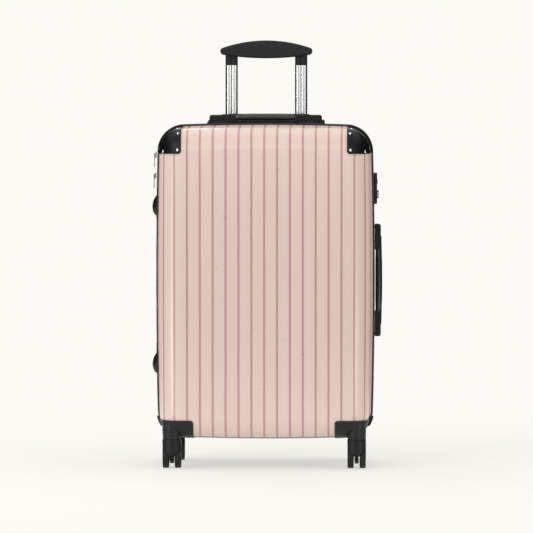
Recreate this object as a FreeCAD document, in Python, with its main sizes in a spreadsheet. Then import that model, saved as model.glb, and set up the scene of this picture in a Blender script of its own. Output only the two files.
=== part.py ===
"""Hard shell spinner suitcase: two moulded halves that open like a book on a fabric hinge.

Frame: millimetres, +Z up. The origin is on the floor, in the middle of the case's width, in the plane of the
zip seam. The printed front half lies towards -Y and the black rear half towards +Y. The fabric hinge and the
side feet are on the left (-X); the carry handle and the combination lock are on the right (+X).
"""
import FreeCAD, Part
import math
import os
import re
import Sketcher
from FreeCAD import Placement, Rotation, Vector

SIZES = [
    # alias, value in mm, what it is
    ("case_half_width", 209.5, "middle of the case to the shell wall, at mid height"),
    ("case_half_height", 306.0, "middle of the case to the top or bottom wall"),
    ("case_centre_height", 364.8, "floor to the middle of the case"),
    ("case_depth", 132.0, "seam plane to the face of each half"),
    ("side_radius", 9700.0, "gentle bow of the long sides"),
    ("end_radius", 4450.0, "gentle bow of the top and the bottom"),
    ("corner_radius", 46.0, "corners, seen from the front"),
    ("edge_radius", 42.0, "rounding from the face to the walls"),
    ("shell_wall", 1.8, "thickness of the moulded shells"),
    ("seam_half_gap", 7.0, "seam plane to the rim of each shell"),
    ("lip_proud", 3.8, "rim lip, out from the wall"),
    ("lip_width", 4.0, "rim lip, along the depth"),
    ("tape_proud", 6.5, "seam tape, out from the wall"),
    ("tape_gap", 1.7, "seam plane to the edge of each tape"),
    ("coil_foot", 5.0, "underside of the zip coil, out from the wall"),
    ("coil_proud", 8.3, "top of the zip coil, out from the wall"),
    ("coil_gap", 0.05, "seam plane to the meshing side of each coil"),
    ("coil_edge", 1.6, "seam plane to the sewn side of each coil"),
    ("hinge_height", 250.0, "length of the fabric hinge"),
    ("guard_skin", 2.2, "thickness of the corner guards and wheel covers"),
    ("guard_lip_proud", 7.5, "lip of the guards and covers, out from the wall"),
    ("flange_proud", 10.5, "ear of each wheel cover beside the seam, out from the wall"),
    ("flange_bottom", 77.0, "floor to the lower end of that ear"),
    ("guard_inner", 162.8, "middle of the case to the inner edge of a front top guard"),
    ("guard_inner_rear", 168.0, "the same on the rear half, outside the flat of its back"),
    ("guard_bottom", 620.0, "floor to the lower edge of a top guard"),
    ("cover_inner", 139.0, "middle of the case to the inner edge of a wheel cover"),
    ("cover_top", 95.9, "floor to the upper edge of a wheel cover"),
    ("guard_round", 6.0, "rounded corner of guards and covers"),
    ("rivet_ball", 3.3, "radius that the rivet heads are domed to"),
    ("rivet_sunk", 1.9, "depth of that radius's centre in the guard"),
    ("caster_x", 182.0, "middle of the case to the swivel axes"),
    ("caster_y", 104.5, "seam plane to the swivel axes"),
    ("trail", 12.0, "swivel axis to axle"),
    ("wheel_radius", 25.0, "rolling radius"),
    ("wheel_width", 12.2, "width of one wheel"),
    ("wheel_inset", 5.8, "swivel axis to the inner side of a wheel"),
    ("axle_radius", 2.5, "axle pin"),
    ("axle_half", 17.0, "half the length of the axle pin"),
    ("running_gap", 0.05, "radial clearance of turning fits"),
    ("neck_radius", 19.4, "round housing of the swivel pin, at its top inside the case"),
    ("neck_foot", 17.8, "the same at its underside"),
    ("neck_bottom", 58.0, "floor to the underside of the neck"),
    ("neck_top", 94.4, "floor to the top of the neck, inside the case"),
    ("kingpin_radius", 5.0, "swivel pin"),
    ("kingpin_top", 78.0, "floor to the top of the swivel pin"),
    ("crown_radius", 18.2, "round crown of the fork"),
    ("tongue_radius", 22.0, "front of the fork, seen from above"),
    ("tongue_bottom", 27.5, "floor to the tip of the fork's tongue"),
    ("crown_bottom", 52.5, "floor to the underside of the crown"),
    ("crown_top", 57.3, "floor to the top of the crown"),
    ("fender_inner", 27.5, "inner radius of the fender, about the axle"),
    ("fender_outer", 30.8, "outer radius of the fender"),
    ("web_half", 4.0, "half the thickness of the fork's web"),
    ("hub_radius", 16.0, "lower disc of the fork's web"),
    ("shield_radius", 24.0, "radius of each side of the tongue"),
    ("shield_offset", 5.8, "offset of those two centres"),
    ("shield_height", 50.0, "floor to those two centres"),
    ("tube_half_width", 12.25, "inner trolley tube, half its width"),
    ("tube_half_side", 3.5, "inner trolley tube, half its flat side"),
    ("tube_crest", 6.5, "crest of its two ribs"),
    ("tube_valley", 5.2, "valley between the ribs"),
    ("tube_wall", 1.3, "wall of every trolley tube"),
    ("tube_slip", 0.4, "clearance between nested tubes"),
    ("trolley_x", 69.6, "middle of the case to each tube"),
    ("trolley_y", 100.0, "seam plane to the tubes"),
    ("inner_tube_bottom", 250.0, "lower end of the inner tubes, part extended"),
    ("inner_tube_top", 792.0, "upper end of the inner tubes, part extended"),
    ("mid_tube_bottom", 96.0, "lower end of the middle tubes"),
    ("mid_tube_top", 650.0, "upper end of the middle tubes"),
    ("outer_tube_bottom", 80.0, "lower end of the fixed tubes"),
    ("outer_tube_top", 644.0, "upper end of the fixed tubes"),
    ("grip_half_width", 92.1, "trolley grip"),
    ("grip_depth", 28.0, "trolley grip, front to back"),
    ("grip_top", 841.7, "crown of the grip, part extended"),
    ("grip_shoulder", 826.5, "top of its rounded ends"),
    ("grip_bottom", 811.5, "underside of its ends"),
    ("grip_belly", 805.8, "underside in the middle"),
    ("button_length", 40.0, "trolley button"),
    ("button_width", 13.0, "trolley button, front to back"),
    ("button_foot", 826.0, "underside of the button"),
    ("button_well", 820.5, "floor of the well under the button"),
    ("button_slip", 0.5, "clearance round the button"),
    ("bezel_half_width", 117.0, "trolley bezel flange"),
    ("bezel_half_depth", 23.0, "trolley bezel flange, front to back"),
    ("bezel_top", 683.0, "floor to the top of the bezel"),
    ("bezel_bottom", 640.0, "floor to the underside of the bezel box"),
    ("bezel_floor", 650.0, "floor to the seat of the grip"),
    ("bezel_flange", 4.0, "overhang of the flange round the box"),
    ("well_half_width", 94.5, "grip recess"),
    ("well_half_depth", 15.5, "grip recess, front to back"),
    ("handle_half_length", 112.0, "carry handle"),
    ("handle_half_width", 13.0, "carry handle, across"),
    ("handle_y", 40.0, "seam plane to the middle of both carry handles"),
    ("handle_foot", 10.7, "wall to the underside of the handle's ends"),
    ("handle_arch", 12.3, "wall to the underside of the grip"),
    ("handle_end_top", 23.0, "wall to the top of the handle's ends"),
    ("handle_crown", 25.4, "wall to the crown of the grip"),
    ("post_inner", 103.5, "middle of the handle to the inner side of a post"),
    ("post_outer", 108.5, "middle of the handle to the outer side of a post"),
    ("post_half_width", 8.0, "post, across"),
    ("post_top", 21.2, "wall to the top of a post"),
    ("post_slip", 0.6, "clearance between a post and its slot"),
    ("side_handle_sink", 3.0, "how much lower the side handle sits on its wall than the top one"),
    ("bracket_outer", 116.5, "middle of the handle to the outer end of a bracket"),
    ("bracket_inner", 64.0, "middle of the handle to the inner end of a bracket"),
    ("bracket_thick", 8.8, "bracket plate, out from the wall"),
    ("strip_half_length", 98.0, "spring strip in the handle"),
    ("strip_half_width", 7.0, "spring strip, across"),
    ("strip_bottom", 16.0, "wall to the underside of the strip"),
    ("strip_thick", 1.2, "spring strip"),
    ("lock_centre_height", 548.0, "floor to the middle of the lock"),
    ("lock_half_height", 31.0, "combination lock"),
    ("lock_y", 29.0, "seam plane to the middle of the lock"),
    ("lock_half_width", 16.0, "combination lock, across"),
    ("lock_face", 222.0, "middle of the case to the face of the lock"),
    ("dial_x", 217.2, "middle of the case to the dial axis"),
    ("dial_radius", 7.8, "combination dial"),
    ("dial_thick", 4.5, "combination dial"),
    ("dial_pitch", 5.6, "spacing of the dials"),
    ("dial_first", 530.4, "floor to the middle of the lowest dial"),
    ("dial_slip", 0.4, "clearance round a dial"),
    ("dial_shaft", 1.5, "radius of the shaft through the dials"),
    ("latch_height", 562.0, "floor to the middle of the release latch at rest"),
    ("latch_half_height", 4.5, "release latch"),
    ("latch_half_width", 6.5, "release latch, across"),
    ("latch_travel", 4.0, "travel of the release latch"),
    ("latch_slip", 0.4, "clearance round the release latch"),
    ("foot_x", 208.6, "middle of the case to the centre of a side foot"),
    ("foot_y", 33.0, "seam plane to the middle of a side foot"),
    ("foot_upper", 516.5, "floor to the middle of the upper side feet"),
    ("foot_lower", 204.5, "floor to the middle of the lower side feet"),
    ("foot_half_height", 23.0, "side foot"),
    ("foot_half_depth", 20.0, "side foot, front to back"),
    ("foot_proud", 14.0, "side foot, out from the wall"),
    ("slider_upper", 615.0, "floor to the middle of the upper zip slider"),
    ("slider_lower", 574.0, "floor to the middle of the lower zip slider"),
    ("slider_half_length", 7.0, "zip slider"),
    ("slider_half_width", 4.0, "zip slider, across the seam"),
    ("slider_foot", 10.2, "wall to the underside of the slider's plate"),
    ("slider_top", 12.4, "wall to the top of the slider's plate"),
    ("lug_top", 14.8, "wall to the top of the slider's lug"),
    ("lug_pin", 0.8, "radius of the pull's pin in the lug"),
    ("pull_length", 25.0, "zip pull"),
    ("lining_slip", 0.4, "gap between lining and shell"),
    ("lining_thick", 0.8, "lining cloth on its backing"),
    ("lining_rim", 9.5, "seam plane to the edge of the lining"),
    ("lining_floor", 80.0, "seam plane to the panel that covers the trolley tubes"),
    ("well_cap", 2.0, "lining cap over each wheel neck"),
    ("strap_half_width", 12.5, "packing strap"),
    ("strap_thick", 1.2, "packing strap"),
    ("strap_y", 14.0, "seam plane to the straps"),
    ("strap_tilt", 40.0, "angle of the straps from level, in degrees"),
    ("strap_reach", 280.0, "middle of the buckle to the far end of a strap"),
    ("buckle_half_length", 33.0, "strap buckle"),
    ("buckle_half_height", 19.0, "strap buckle"),
    ("buckle_thick", 8.0, "strap buckle, front to back"),
    ("base_half_width", 92.0, "bracket under the fixed trolley tubes"),
    ("base_bottom", 74.0, "floor to its underside"),
    ("base_top", 95.0, "floor to its top"),
]

doc = FreeCAD.newDocument("Suitcase")
sheet = doc.addObject("Spreadsheet::Sheet", "Sizes")
for row, (alias, value, meaning) in enumerate(SIZES, start=1):
    sheet.set(f"A{row}", alias)
    sheet.set(f"B{row}", repr(value))
    sheet.setAlias(f"B{row}", alias)
    sheet.set(f"C{row}", meaning)
doc.recompute()

ALIASES = {alias for alias, _, _ in SIZES}
LEFT, RIGHT = -1, 1
SIDES = {"left": LEFT, "right": RIGHT}
NODES = []


# ---------------------------------------------------------------- helpers
def size(alias):
    """A driving dimension, read from the sheet."""
    return float(sheet.get(alias))


def formula(text):
    """Turns 'case_depth - shell_wall' into an expression on the sheet's cells."""
    return re.sub(r"[a-z_]{3,}", lambda m: f"Sizes.{m[0]}" if m[0] in ALIASES else m[0], str(text))


def bind(thing, **sizes):
    """Binds properties, named with __ for a dot, to formulas on the sheet."""
    for name, text in sizes.items():
        thing.setExpression(name.replace("__", "."), formula(text))
    return thing


def place(thing, x="0", y="0", z="0"):
    return bind(thing, Placement__Base__x=x, Placement__Base__y=y, Placement__Base__z=z)


def box(name, x, y, z):
    """A box from three (low, high) pairs of formulas."""
    made = doc.addObject("Part::Box", name)
    for side, (low, high) in zip(("Length", "Width", "Height"), (x, y, z)):
        bind(made, **{side: f"({high}) - ({low})"})
    return place(made, x[0], y[0], z[0])


def cylinder(name, radius, height, x, y, z, turn=None):
    """A cylinder from its base centre, along +Z unless `turn` rotates it."""
    made = doc.addObject("Part::Cylinder", name)
    if turn:
        made.Placement = Placement(Vector(), turn)
    bind(made, Radius=radius, Height=height)
    return place(made, x, y, z)


ALONG_X = Rotation(Vector(0, 1, 0), 90)
ALONG_Y = Rotation(Vector(1, 0, 0), -90)


def fuse(name, *shapes):
    made = doc.addObject("Part::MultiFuse", name)
    made.Shapes = list(shapes)
    return made


def common(name, *shapes):
    made = doc.addObject("Part::MultiCommon", name)
    made.Shapes = list(shapes)
    return made


def cut(name, base, *tools):
    tool = tools[0] if len(tools) == 1 else fuse(name + "_tools", *tools)
    made = doc.addObject("Part::Cut", name)
    made.Base = base
    made.Tool = tool
    return made


def group(name, *shapes):
    """Separate solids that share one node."""
    made = doc.addObject("Part::Compound", name)
    made.Links = list(shapes)
    return made


def mirror(name, source, normal):
    made = doc.addObject("Part::Mirroring", name)
    made.Source = source
    made.Normal = normal
    return made


ACROSS_X = Vector(1, 0, 0)
ACROSS_Y = Vector(0, 1, 0)


def round_edges(name, base, radius, wanted):
    """Rounds the edges for which wanted(edge) is true."""
    doc.recompute()
    made = doc.addObject("Part::Fillet", name)
    made.Base = base
    made.Edges = [(i, radius, radius) for i, e in enumerate(base.Shape.Edges, 1) if wanted(e)]
    return made


def edge_box(edge):
    """Lowest and highest corner of an edge."""
    b = edge.BoundBox
    return (b.XMin, b.YMin, b.ZMin), (b.XMax, b.YMax, b.ZMax)


def is_along(edge, axis):
    """True for a straight edge along 0, 1 or 2 for X, Y or Z."""
    low, high = edge_box(edge)
    spans = [high[k] - low[k] for k in range(3)]
    return spans[axis] > 0.1 and all(spans[k] < 1e-4 for k in range(3) if k != axis)


def node(name, thing):
    """Marks an object as one finished sub-part: its Label names its file."""
    thing.Label = name
    NODES.append(thing)
    return thing


def body_with_sketch(name, plane):
    """A PartDesign body and a sketch on one of its own origin planes."""
    body = doc.addObject("PartDesign::Body", name)
    sketch = body.newObject("Sketcher::SketchObject", name + "_sketch")
    planes = {o.Role: o for o in body.Origin.OriginFeatures}
    sketch.AttachmentSupport = [(planes[plane], "")]
    sketch.MapMode = "FlatFace"
    return body, sketch


def constrain(sketch, *arguments, bound=None):
    index = sketch.addConstraint(Sketcher.Constraint(*arguments))
    if bound:
        sketch.setExpression(f"Constraints[{index}]", formula(bound))


# ---------------------------------------------------------------- outline of the case
def arc_between(centre, radius, start, end):
    """Counter-clockwise arc of a circle between two points on it."""
    first, last = (math.atan2(p.y - centre.y, p.x - centre.x) for p in (start, end))
    if last < first:
        last += 2 * math.pi
    return Part.ArcOfCircle(Part.Circle(centre, Vector(0, 0, 1), radius), first, last)


def corner_centre(half_width, half_height, corner, side, end):
    """Centre of the corner arc that touches both the bowed side and the bowed end."""
    x, y = half_width - corner, half_height - corner
    for _ in range(30):
        x = half_width - side + math.sqrt((side - corner) ** 2 - y**2)
        y = half_height - end + math.sqrt((end - corner) ** 2 - x**2)
    return Vector(x, y, 0)


def add_outline(sketch, grow):
    """Adds the eight tangent arcs of the case's outline, `grow` outside the wall, to a sketch."""
    extra = eval_size(grow)
    half_width, half_height = size("case_half_width") + extra, size("case_half_height") + extra
    corner, side, end = (size(a) + extra for a in ("corner_radius", "side_radius", "end_radius"))
    middle = corner_centre(half_width, half_height, corner, side, end)
    side_middle, end_middle = Vector(half_width - side, 0, 0), Vector(0, half_height - end, 0)
    on_side = side_middle + (middle - side_middle) * (side / (side - corner))
    on_end = end_middle + (middle - end_middle) * (end / (end - corner))

    def flip(p, x, y):
        return Vector(p.x * x, p.y * y, 0)

    first = sketch.GeometryCount
    arcs = []
    for x, y in ((1, 1), (-1, 1), (-1, -1), (1, -1)):
        ends = (on_side, on_end) if x * y > 0 else (on_end, on_side)
        start, stop = (flip(p, x, y) for p in ends)
        arcs.append(arc_between(flip(middle, x, y), corner, start, stop))
    top = arc_between(end_middle, end, on_end, flip(on_end, -1, 1))
    left = arc_between(flip(side_middle, -1, 1), side, flip(on_side, -1, 1), flip(on_side, -1, -1))
    bottom = arc_between(flip(end_middle, 1, -1), end, flip(on_end, -1, -1), flip(on_end, 1, -1))
    right = arc_between(side_middle, side, flip(on_side, 1, -1), on_side)
    for arc in (arcs[0], top, arcs[1], left, arcs[2], bottom, arcs[3], right):
        sketch.addGeometry(arc, False)
    for k in range(8):
        constrain(sketch, "Tangent", first + k, 2, first + (k + 1) % 8, 1)
    for k, alias, value in (
        (0, "corner_radius", corner), (2, "corner_radius", corner),
        (4, "corner_radius", corner), (6, "corner_radius", corner),
        (1, "end_radius", end), (5, "end_radius", end),
        (3, "side_radius", side), (7, "side_radius", side),
    ):
        constrain(sketch, "Radius", first + k, value, bound=f"{alias} + ({grow})")
    for k, on_axis in ((1, -2), (5, -2), (3, -1), (7, -1)):
        constrain(sketch, "PointOnObject", first + k, 3, on_axis)
    side_offset, end_offset = side - half_width, end - half_height
    constrain(sketch, "DistanceX", first + 7, 3, -1, 1, side_offset, bound="side_radius - case_half_width")
    constrain(sketch, "DistanceX", -1, 1, first + 3, 3, side_offset, bound="side_radius - case_half_width")
    constrain(sketch, "DistanceY", first + 1, 3, -1, 1, end_offset, bound="end_radius - case_half_height")
    constrain(sketch, "DistanceY", -1, 1, first + 5, 3, end_offset, bound="end_radius - case_half_height")


def eval_size(text):
    """The number that a formula has now."""
    names = {a: size(a) for a in ALIASES if a in str(text)}
    value = FreeCAD.Units.parseQuantity(re.sub(r"[a-z_]{3,}", lambda m: str(names[m[0]]), str(text)))
    return value.Value


def case_slab(name, grows, start, depth):
    """The case's outline, or a ring between two outlines, from `start` to `start + depth` in front of the seam."""
    body, sketch = body_with_sketch(name, "XZ_Plane")
    bind(sketch, AttachmentOffset__Base__y="case_centre_height", AttachmentOffset__Base__z=start)
    for grow in grows:
        add_outline(sketch, grow)
    pad = body.newObject("PartDesign::Pad", name + "_pad")
    pad.Profile = sketch
    bind(pad, Length=depth)
    return body


def case_block(name, grow):
    """One half of the case as a full block with its rounded face, `grow` outside the wall."""
    depth = f"case_depth + ({grow}) - seam_half_gap"
    body = case_slab(name, [grow], "seam_half_gap", depth)
    pad = body.Tip
    doc.recompute()
    face_y = -(size("case_depth") + eval_size(grow))
    edges = [f"Edge{i}" for i, e in enumerate(pad.Shape.Edges, 1) if abs(e.BoundBox.YMax - face_y) < 0.01]
    fillet = body.newObject("PartDesign::Fillet", name + "_round")
    fillet.Base = (pad, edges)
    bind(fillet, Radius=f"edge_radius + ({grow})")
    return body


def wall_x(height):
    """Formula for the distance from the middle of the case to the bowed side wall at a height."""
    return f"(case_half_width - (({height}) - case_centre_height) ^ 2 / (2 * side_radius))"


# ---------------------------------------------------------------- shells
def wheel_wells(name):
    """Round holes that let the wheel necks into one half."""
    wells = [
        cylinder(f"{name}_{side}", "neck_radius + dial_slip", "neck_top", f"{sign} * caster_x", "-caster_y", "0")
        for side, sign in SIDES.items()
    ]
    return wells


front_block = case_block("front_block", "0")
front_lip = case_slab("front_lip", ["lip_proud"], "seam_half_gap", "lip_width")
front_solid = fuse("front_solid", front_block, front_lip)
front_hollow = case_block("front_hollow", "-shell_wall")
front_wells = wheel_wells("front_well")
front_shell = node("front_shell", cut("front_shell_cut", front_solid, front_hollow, *front_wells))

rear_solid = mirror("rear_solid", front_solid, ACROSS_Y)
rear_hollow = mirror("rear_hollow", front_hollow, ACROSS_Y)
rear_wells = [mirror(f"rear_{w.Name}", w, ACROSS_Y) for w in front_wells]
bezel_hole = box(
    "bezel_hole",
    ("-bezel_half_width + bezel_flange", "bezel_half_width - bezel_flange"),
    ("trolley_y - bezel_half_depth + bezel_flange", "trolley_y + bezel_half_depth - bezel_flange"),
    ("bezel_bottom - 10", "bezel_top"),
)
rear_shell = node("rear_shell", cut("rear_shell_cut", rear_solid, rear_hollow, bezel_hole, *rear_wells))


# ---------------------------------------------------------------- seam: tapes, zip coils and fabric hinge
def hinge_zone(name):
    """The stretch of the left seam where the fabric hinge takes the place of the coil."""
    return box(
        name,
        ("-case_half_width - 20", "-case_half_width + 20"),
        ("-seam_half_gap", "seam_half_gap"),
        ("case_centre_height - hinge_height / 2", "case_centre_height + hinge_height / 2"),
    )


front_tape = node(
    "front_seam_tape",
    case_slab("front_tape", ["tape_proud", "-shell_wall"], "tape_gap", "seam_half_gap - tape_gap"),
)
rear_tape = node("rear_seam_tape", mirror("rear_tape", front_tape, ACROSS_Y))
coil_ring = case_slab("coil_ring", ["coil_proud", "coil_foot"], "coil_gap", "coil_edge - coil_gap")
front_coil = node("front_zip_coil", cut("front_coil", coil_ring, hinge_zone("front_hinge_zone")))
rear_coil_ring = mirror("rear_coil_ring", coil_ring, ACROSS_Y)
rear_coil = node("rear_zip_coil", cut("rear_coil", rear_coil_ring, hinge_zone("rear_hinge_zone")))
fabric_hinge = node(
    "fabric_hinge",
    box(
        "hinge_strip",
        ("-case_half_width - coil_proud", "-case_half_width + shell_wall"),
        ("-coil_edge", "coil_edge"),
        ("case_centre_height - hinge_height / 2 + 1", "case_centre_height + hinge_height / 2 - 1"),
    ),
)


# ---------------------------------------------------------------- corner guards, wheel covers and rivets
guard_block = case_block("guard_block", "guard_skin")
guard_lip = case_slab("guard_lip", ["guard_lip_proud"], "seam_half_gap + 0.2", "lip_width + guard_skin")
flange_ring = case_slab("flange_ring", ["flange_proud"], "seam_half_gap + 0.2", "lip_width + guard_skin")
guard_solid = fuse("guard_solid", guard_block, guard_lip)
guard_skin = cut("guard_skin_shell", guard_solid, front_solid)


def guard_region(name, sign, inner, low, high, rounded_z):
    """The piece of the skin that one guard covers, with its inner corner rounded."""
    span = (inner, "case_half_width + 20") if sign == RIGHT else ("-case_half_width - 20", f"-({inner})")
    region = box(name + "_box", span, ("-case_depth - 10", "0"), (low, high))
    inner_x = sign * eval_size(inner)

    def wanted(edge):
        low_corner, _ = edge_box(edge)
        return (
            is_along(edge, 1)
            and abs(low_corner[0] - inner_x) < 0.01
            and abs(low_corner[2] - eval_size(rounded_z)) < 0.01
        )

    return round_edges(name, region, size("guard_round"), wanted)


front_guards = []
for side, sign in SIDES.items():
    region = guard_region(f"guard_region_{side}", sign, "guard_inner", "guard_bottom", "bezel_top + 10", "guard_bottom")
    front_guards.append(common(f"front_guard_{side}", guard_skin, region))
node("front_corner_guards", group("front_guards", *front_guards))
rear_guards = []
for side, sign in SIDES.items():
    span = ("guard_inner_rear", "case_half_width + 20") if sign == RIGHT else (
        "-case_half_width - 20", "-guard_inner_rear")
    outer = box(f"rear_guard_span_{side}", span, ("-case_depth - 10", "0"), ("guard_bottom", "bezel_top + 10"))
    trimmed = common(f"rear_guard_trim_{side}", front_guards[len(rear_guards)], outer)
    rear_guards.append(mirror(f"rear_guard_{side}", trimmed, ACROSS_Y))
node("rear_corner_guards", group("rear_guards", *rear_guards))

front_covers = {}
rear_covers = {}
for side, sign in SIDES.items():
    region = guard_region(f"cover_region_{side}", sign, "cover_inner", "neck_bottom - 20", "cover_top", "cover_top")
    neck = doc.addObject("Part::Cone", f"neck_{side}")
    bind(neck, Radius1="neck_foot", Radius2="neck_radius", Height="neck_top - neck_bottom")
    place(neck, f"{sign} * caster_x", "-caster_y", "neck_bottom")
    ear_side = ("0", "case_half_width + 20") if sign == RIGHT else ("-case_half_width - 20", "0")
    ear_box = box(f"ear_box_{side}", ear_side, ("-case_depth", "0"), ("flange_bottom", "cover_top - 0.5"))
    ear = cut(f"ear_{side}", common(f"ear_ring_{side}", flange_ring, ear_box), front_solid)
    bore = cylinder(
        f"kingpin_bore_{side}", "kingpin_radius + running_gap", "kingpin_top + 2 - neck_bottom + 1",
        f"{sign} * caster_x", "-caster_y", "neck_bottom - 1",
    )
    skin = common(f"cover_skin_{side}", guard_skin, region)
    cover = cut(f"front_cover_{side}", fuse(f"cover_{side}", skin, ear, neck), bore)
    front_covers[side] = node(f"front_wheel_cover_{side}", cover)
    rear_covers[side] = node(f"rear_wheel_cover_{side}", mirror(f"rear_cover_{side}", cover, ACROSS_Y))


def corner_point(sign, around, over, inset):
    """A point on the rounded top corner: `around` degrees up from the side, `over` degrees back from the face."""
    corner, edge = size("corner_radius"), size("edge_radius")
    half_width, half_height = size("case_half_width"), size("case_half_height")
    middle = corner_centre(half_width, half_height, corner, size("side_radius"), size("end_radius"))
    reach = corner - edge + (edge + size("guard_skin") - inset) * math.sin(math.radians(over))
    depth = size("case_depth") - edge + (edge + size("guard_skin") - inset) * math.cos(math.radians(over))
    x = middle.x + reach * math.cos(math.radians(around))
    z = middle.y + reach * math.sin(math.radians(around)) + size("case_centre_height")
    return Vector(sign * x, -depth, z)


RIVETS = [(76.4, 53.5), (32.1, 9.7), (3.7, 52.2), (76, 86), (10, 84)]


def rivet_balls(side, sign):
    """Five balls whose caps stand out of one top guard."""
    balls = []
    for number, (around, over) in enumerate(RIVETS):
        ball = doc.addObject("Part::Sphere", f"rivet_{side}_{number}")
        bind(ball, Radius="rivet_ball")
        ball.Placement = Placement(corner_point(sign, around, over, size("rivet_sunk")), Rotation())
        balls.append(ball)
    return balls


front_rivets = []
for side, sign in SIDES.items():
    for number, ball in enumerate(rivet_balls(side, sign)):
        front_rivets.append(cut(f"rivet_cap_{side}_{number}", ball, guard_block))
node("front_rivets", group("front_rivet_caps", *front_rivets))
node("rear_rivets", group("rear_rivet_caps", *[mirror(f"rear_{r.Name}", r, ACROSS_Y) for r in front_rivets]))


# ---------------------------------------------------------------- side feet
def side_foot(name, height):
    """A drop-shaped dome on the left wall of the front half, fuller towards its top."""
    dome = doc.addObject("Part::Ellipsoid", name + "_dome")
    dome.Placement = Placement(Vector(), Rotation(Vector(0, 1, 0), 8))
    bind(dome, Radius1="foot_proud", Radius2="foot_half_height", Radius3="foot_half_depth")
    dome.Placement = Placement(Vector(), Rotation(Vector(0, 1, 0), 98))
    dome.Angle1, dome.Angle2, dome.Angle3 = -90, 90, 360
    place(dome, "-foot_x", "-foot_y", height)
    return cut(name, dome, front_block)


front_feet = [side_foot("foot_upper_dome", "foot_upper"), side_foot("foot_lower_dome", "foot_lower")]
node("front_side_feet", group("front_feet", *front_feet))
node("rear_side_feet", group("rear_feet", *[mirror(f"rear_{f.Name}", f, ACROSS_Y) for f in front_feet]))


# ---------------------------------------------------------------- casters
def fork(name, x, y):
    """Swivel fork: kingpin, crown, a tongue in front of the wheels, a fender over them and a web between them."""
    axle_y = f"({y} + trail)"
    crown_disc = cylinder(name + "_crown", "crown_radius", "crown_top - crown_bottom", x, y, "crown_bottom")
    kingpin = cylinder(name + "_kingpin", "kingpin_radius", "kingpin_top - crown_bottom", x, y, "crown_bottom")

    def disc(label, radius, half):
        return cylinder(f"{name}_{label}", radius, f"2 * ({half})", f"{x} - ({half})", axle_y, "wheel_radius", ALONG_X)

    column = cylinder(
        name + "_column", "tongue_radius", "crown_top - tongue_bottom", x,
        f"{y} + tongue_radius - crown_radius", "tongue_bottom",
    )
    ahead = box(
        name + "_ahead", (f"{x} - crown_radius", f"{x} + crown_radius"), (f"{y} - 30", y),
        ("shield_height", "crown_top"),
    )
    lobes = [
        cylinder(
            f"{name}_lobe_{k}", "shield_radius", "30", f"{x} + ({k} * shield_offset)", f"{y} - 30",
            "shield_height", ALONG_Y,
        )
        for k in (-1, 1)
    ]
    shield = fuse(name + "_shield", common(name + "_lobes", *lobes), ahead)
    hollow = disc("hollow", "fender_inner", "neck_radius + 1")
    tongue = cut(name + "_tongue", common(name + "_tongue_solid", column, shield), hollow)
    ring = cut(name + "_ring", disc("rim", "fender_outer", "crown_radius"), hollow)
    over = box(
        name + "_over", (f"{x} - 30", f"{x} + 30"), (f"{y} - 1", f"{axle_y} + 9"), ("45", "crown_top")
    )
    fender = common(name + "_fender", ring, over)
    upper = box(
        name + "_upper", (f"{x} - 30", f"{x} + 30"), (f"{y} - 16", f"{axle_y} + 20"), ("wheel_radius + 8", "crown_top")
    )
    web = common(name + "_web", disc("web_disc", "fender_outer", "web_half"), upper)
    hub = cut(name + "_hub_ring", disc("hub", "hub_radius", "web_half"), disc("eye", "axle_radius", "web_half + 1"))
    return fuse(name, crown_disc, kingpin, tongue, fender, web, hub)


def wheel(name, x, y, outward):
    """One wheel turned about its axle, closed on its outer side."""
    body, sketch = body_with_sketch(name, "XZ_Plane")
    radius, width = size("wheel_radius"), size("wheel_width")
    bore = size("axle_radius") + size("running_gap")
    tread_round, rim, boss, dish = 2.2, 19.5, 8.0, 1.8
    cap = 0.6
    corner = math.sqrt(0.5) * tread_round
    points = [
        (0, bore), (0, boss), (dish, boss + 1), (dish, rim - 1), (0, rim), (0, radius - tread_round),
        (tread_round, radius), (width - tread_round, radius), (width, radius - tread_round),
        (width, rim), (width - dish, rim - 1), (width - dish, boss + 1), (width, boss), (width, 0),
        (width - cap, 0), (width - cap, bore),
    ]
    rounds = {5: (tread_round - corner, radius - tread_round + corner),
              7: (width - tread_round + corner, radius - tread_round + corner)}
    count = len(points)
    for k in range(count):
        start, end = (Vector(*points[i % count], 0) for i in (k, k + 1))
        if k in rounds:
            arc = Part.Arc(start, Vector(*rounds[k], 0), end)
            sketch.addGeometry(arc, False)
        else:
            sketch.addGeometry(Part.LineSegment(start, end), False)
    turned = body.newObject("PartDesign::Revolution", name + "_turned")
    turned.Profile = sketch
    turned.ReferenceAxis = (sketch, ["H_Axis"])
    turned.Angle = 360
    body.Placement = Placement(Vector(), Rotation(Vector(0, 0, 1), 0 if outward == RIGHT else 180))
    return place(body, f"{x} + ({outward} * wheel_inset)", y, "wheel_radius")


AXLE_Y = {"front": "(-caster_y + trail)", "rear": "(caster_y - trail)"}
for side, sign in SIDES.items():
    x = f"({sign} * caster_x)"
    front_fork = node(f"front_fork_{side}", fork(f"front_fork_{side}", x, "(-caster_y)"))
    node(f"rear_fork_{side}", mirror(f"rear_fork_{side}", front_fork, ACROSS_Y))
    for half, axle_y in AXLE_Y.items():
        axle = cylinder(
            f"{half}_axle_{side}", "axle_radius", "2 * axle_half", f"{x} - axle_half", axle_y, "wheel_radius", ALONG_X
        )
        node(f"{half}_axle_{side}", axle)
        for letter, outward in (("a", LEFT), ("b", RIGHT)):
            made = wheel(f"{half}_wheel_{side}_{letter}", x, axle_y, outward)
            node(f"{half}_wheel_{side}_{letter}", made)


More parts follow.
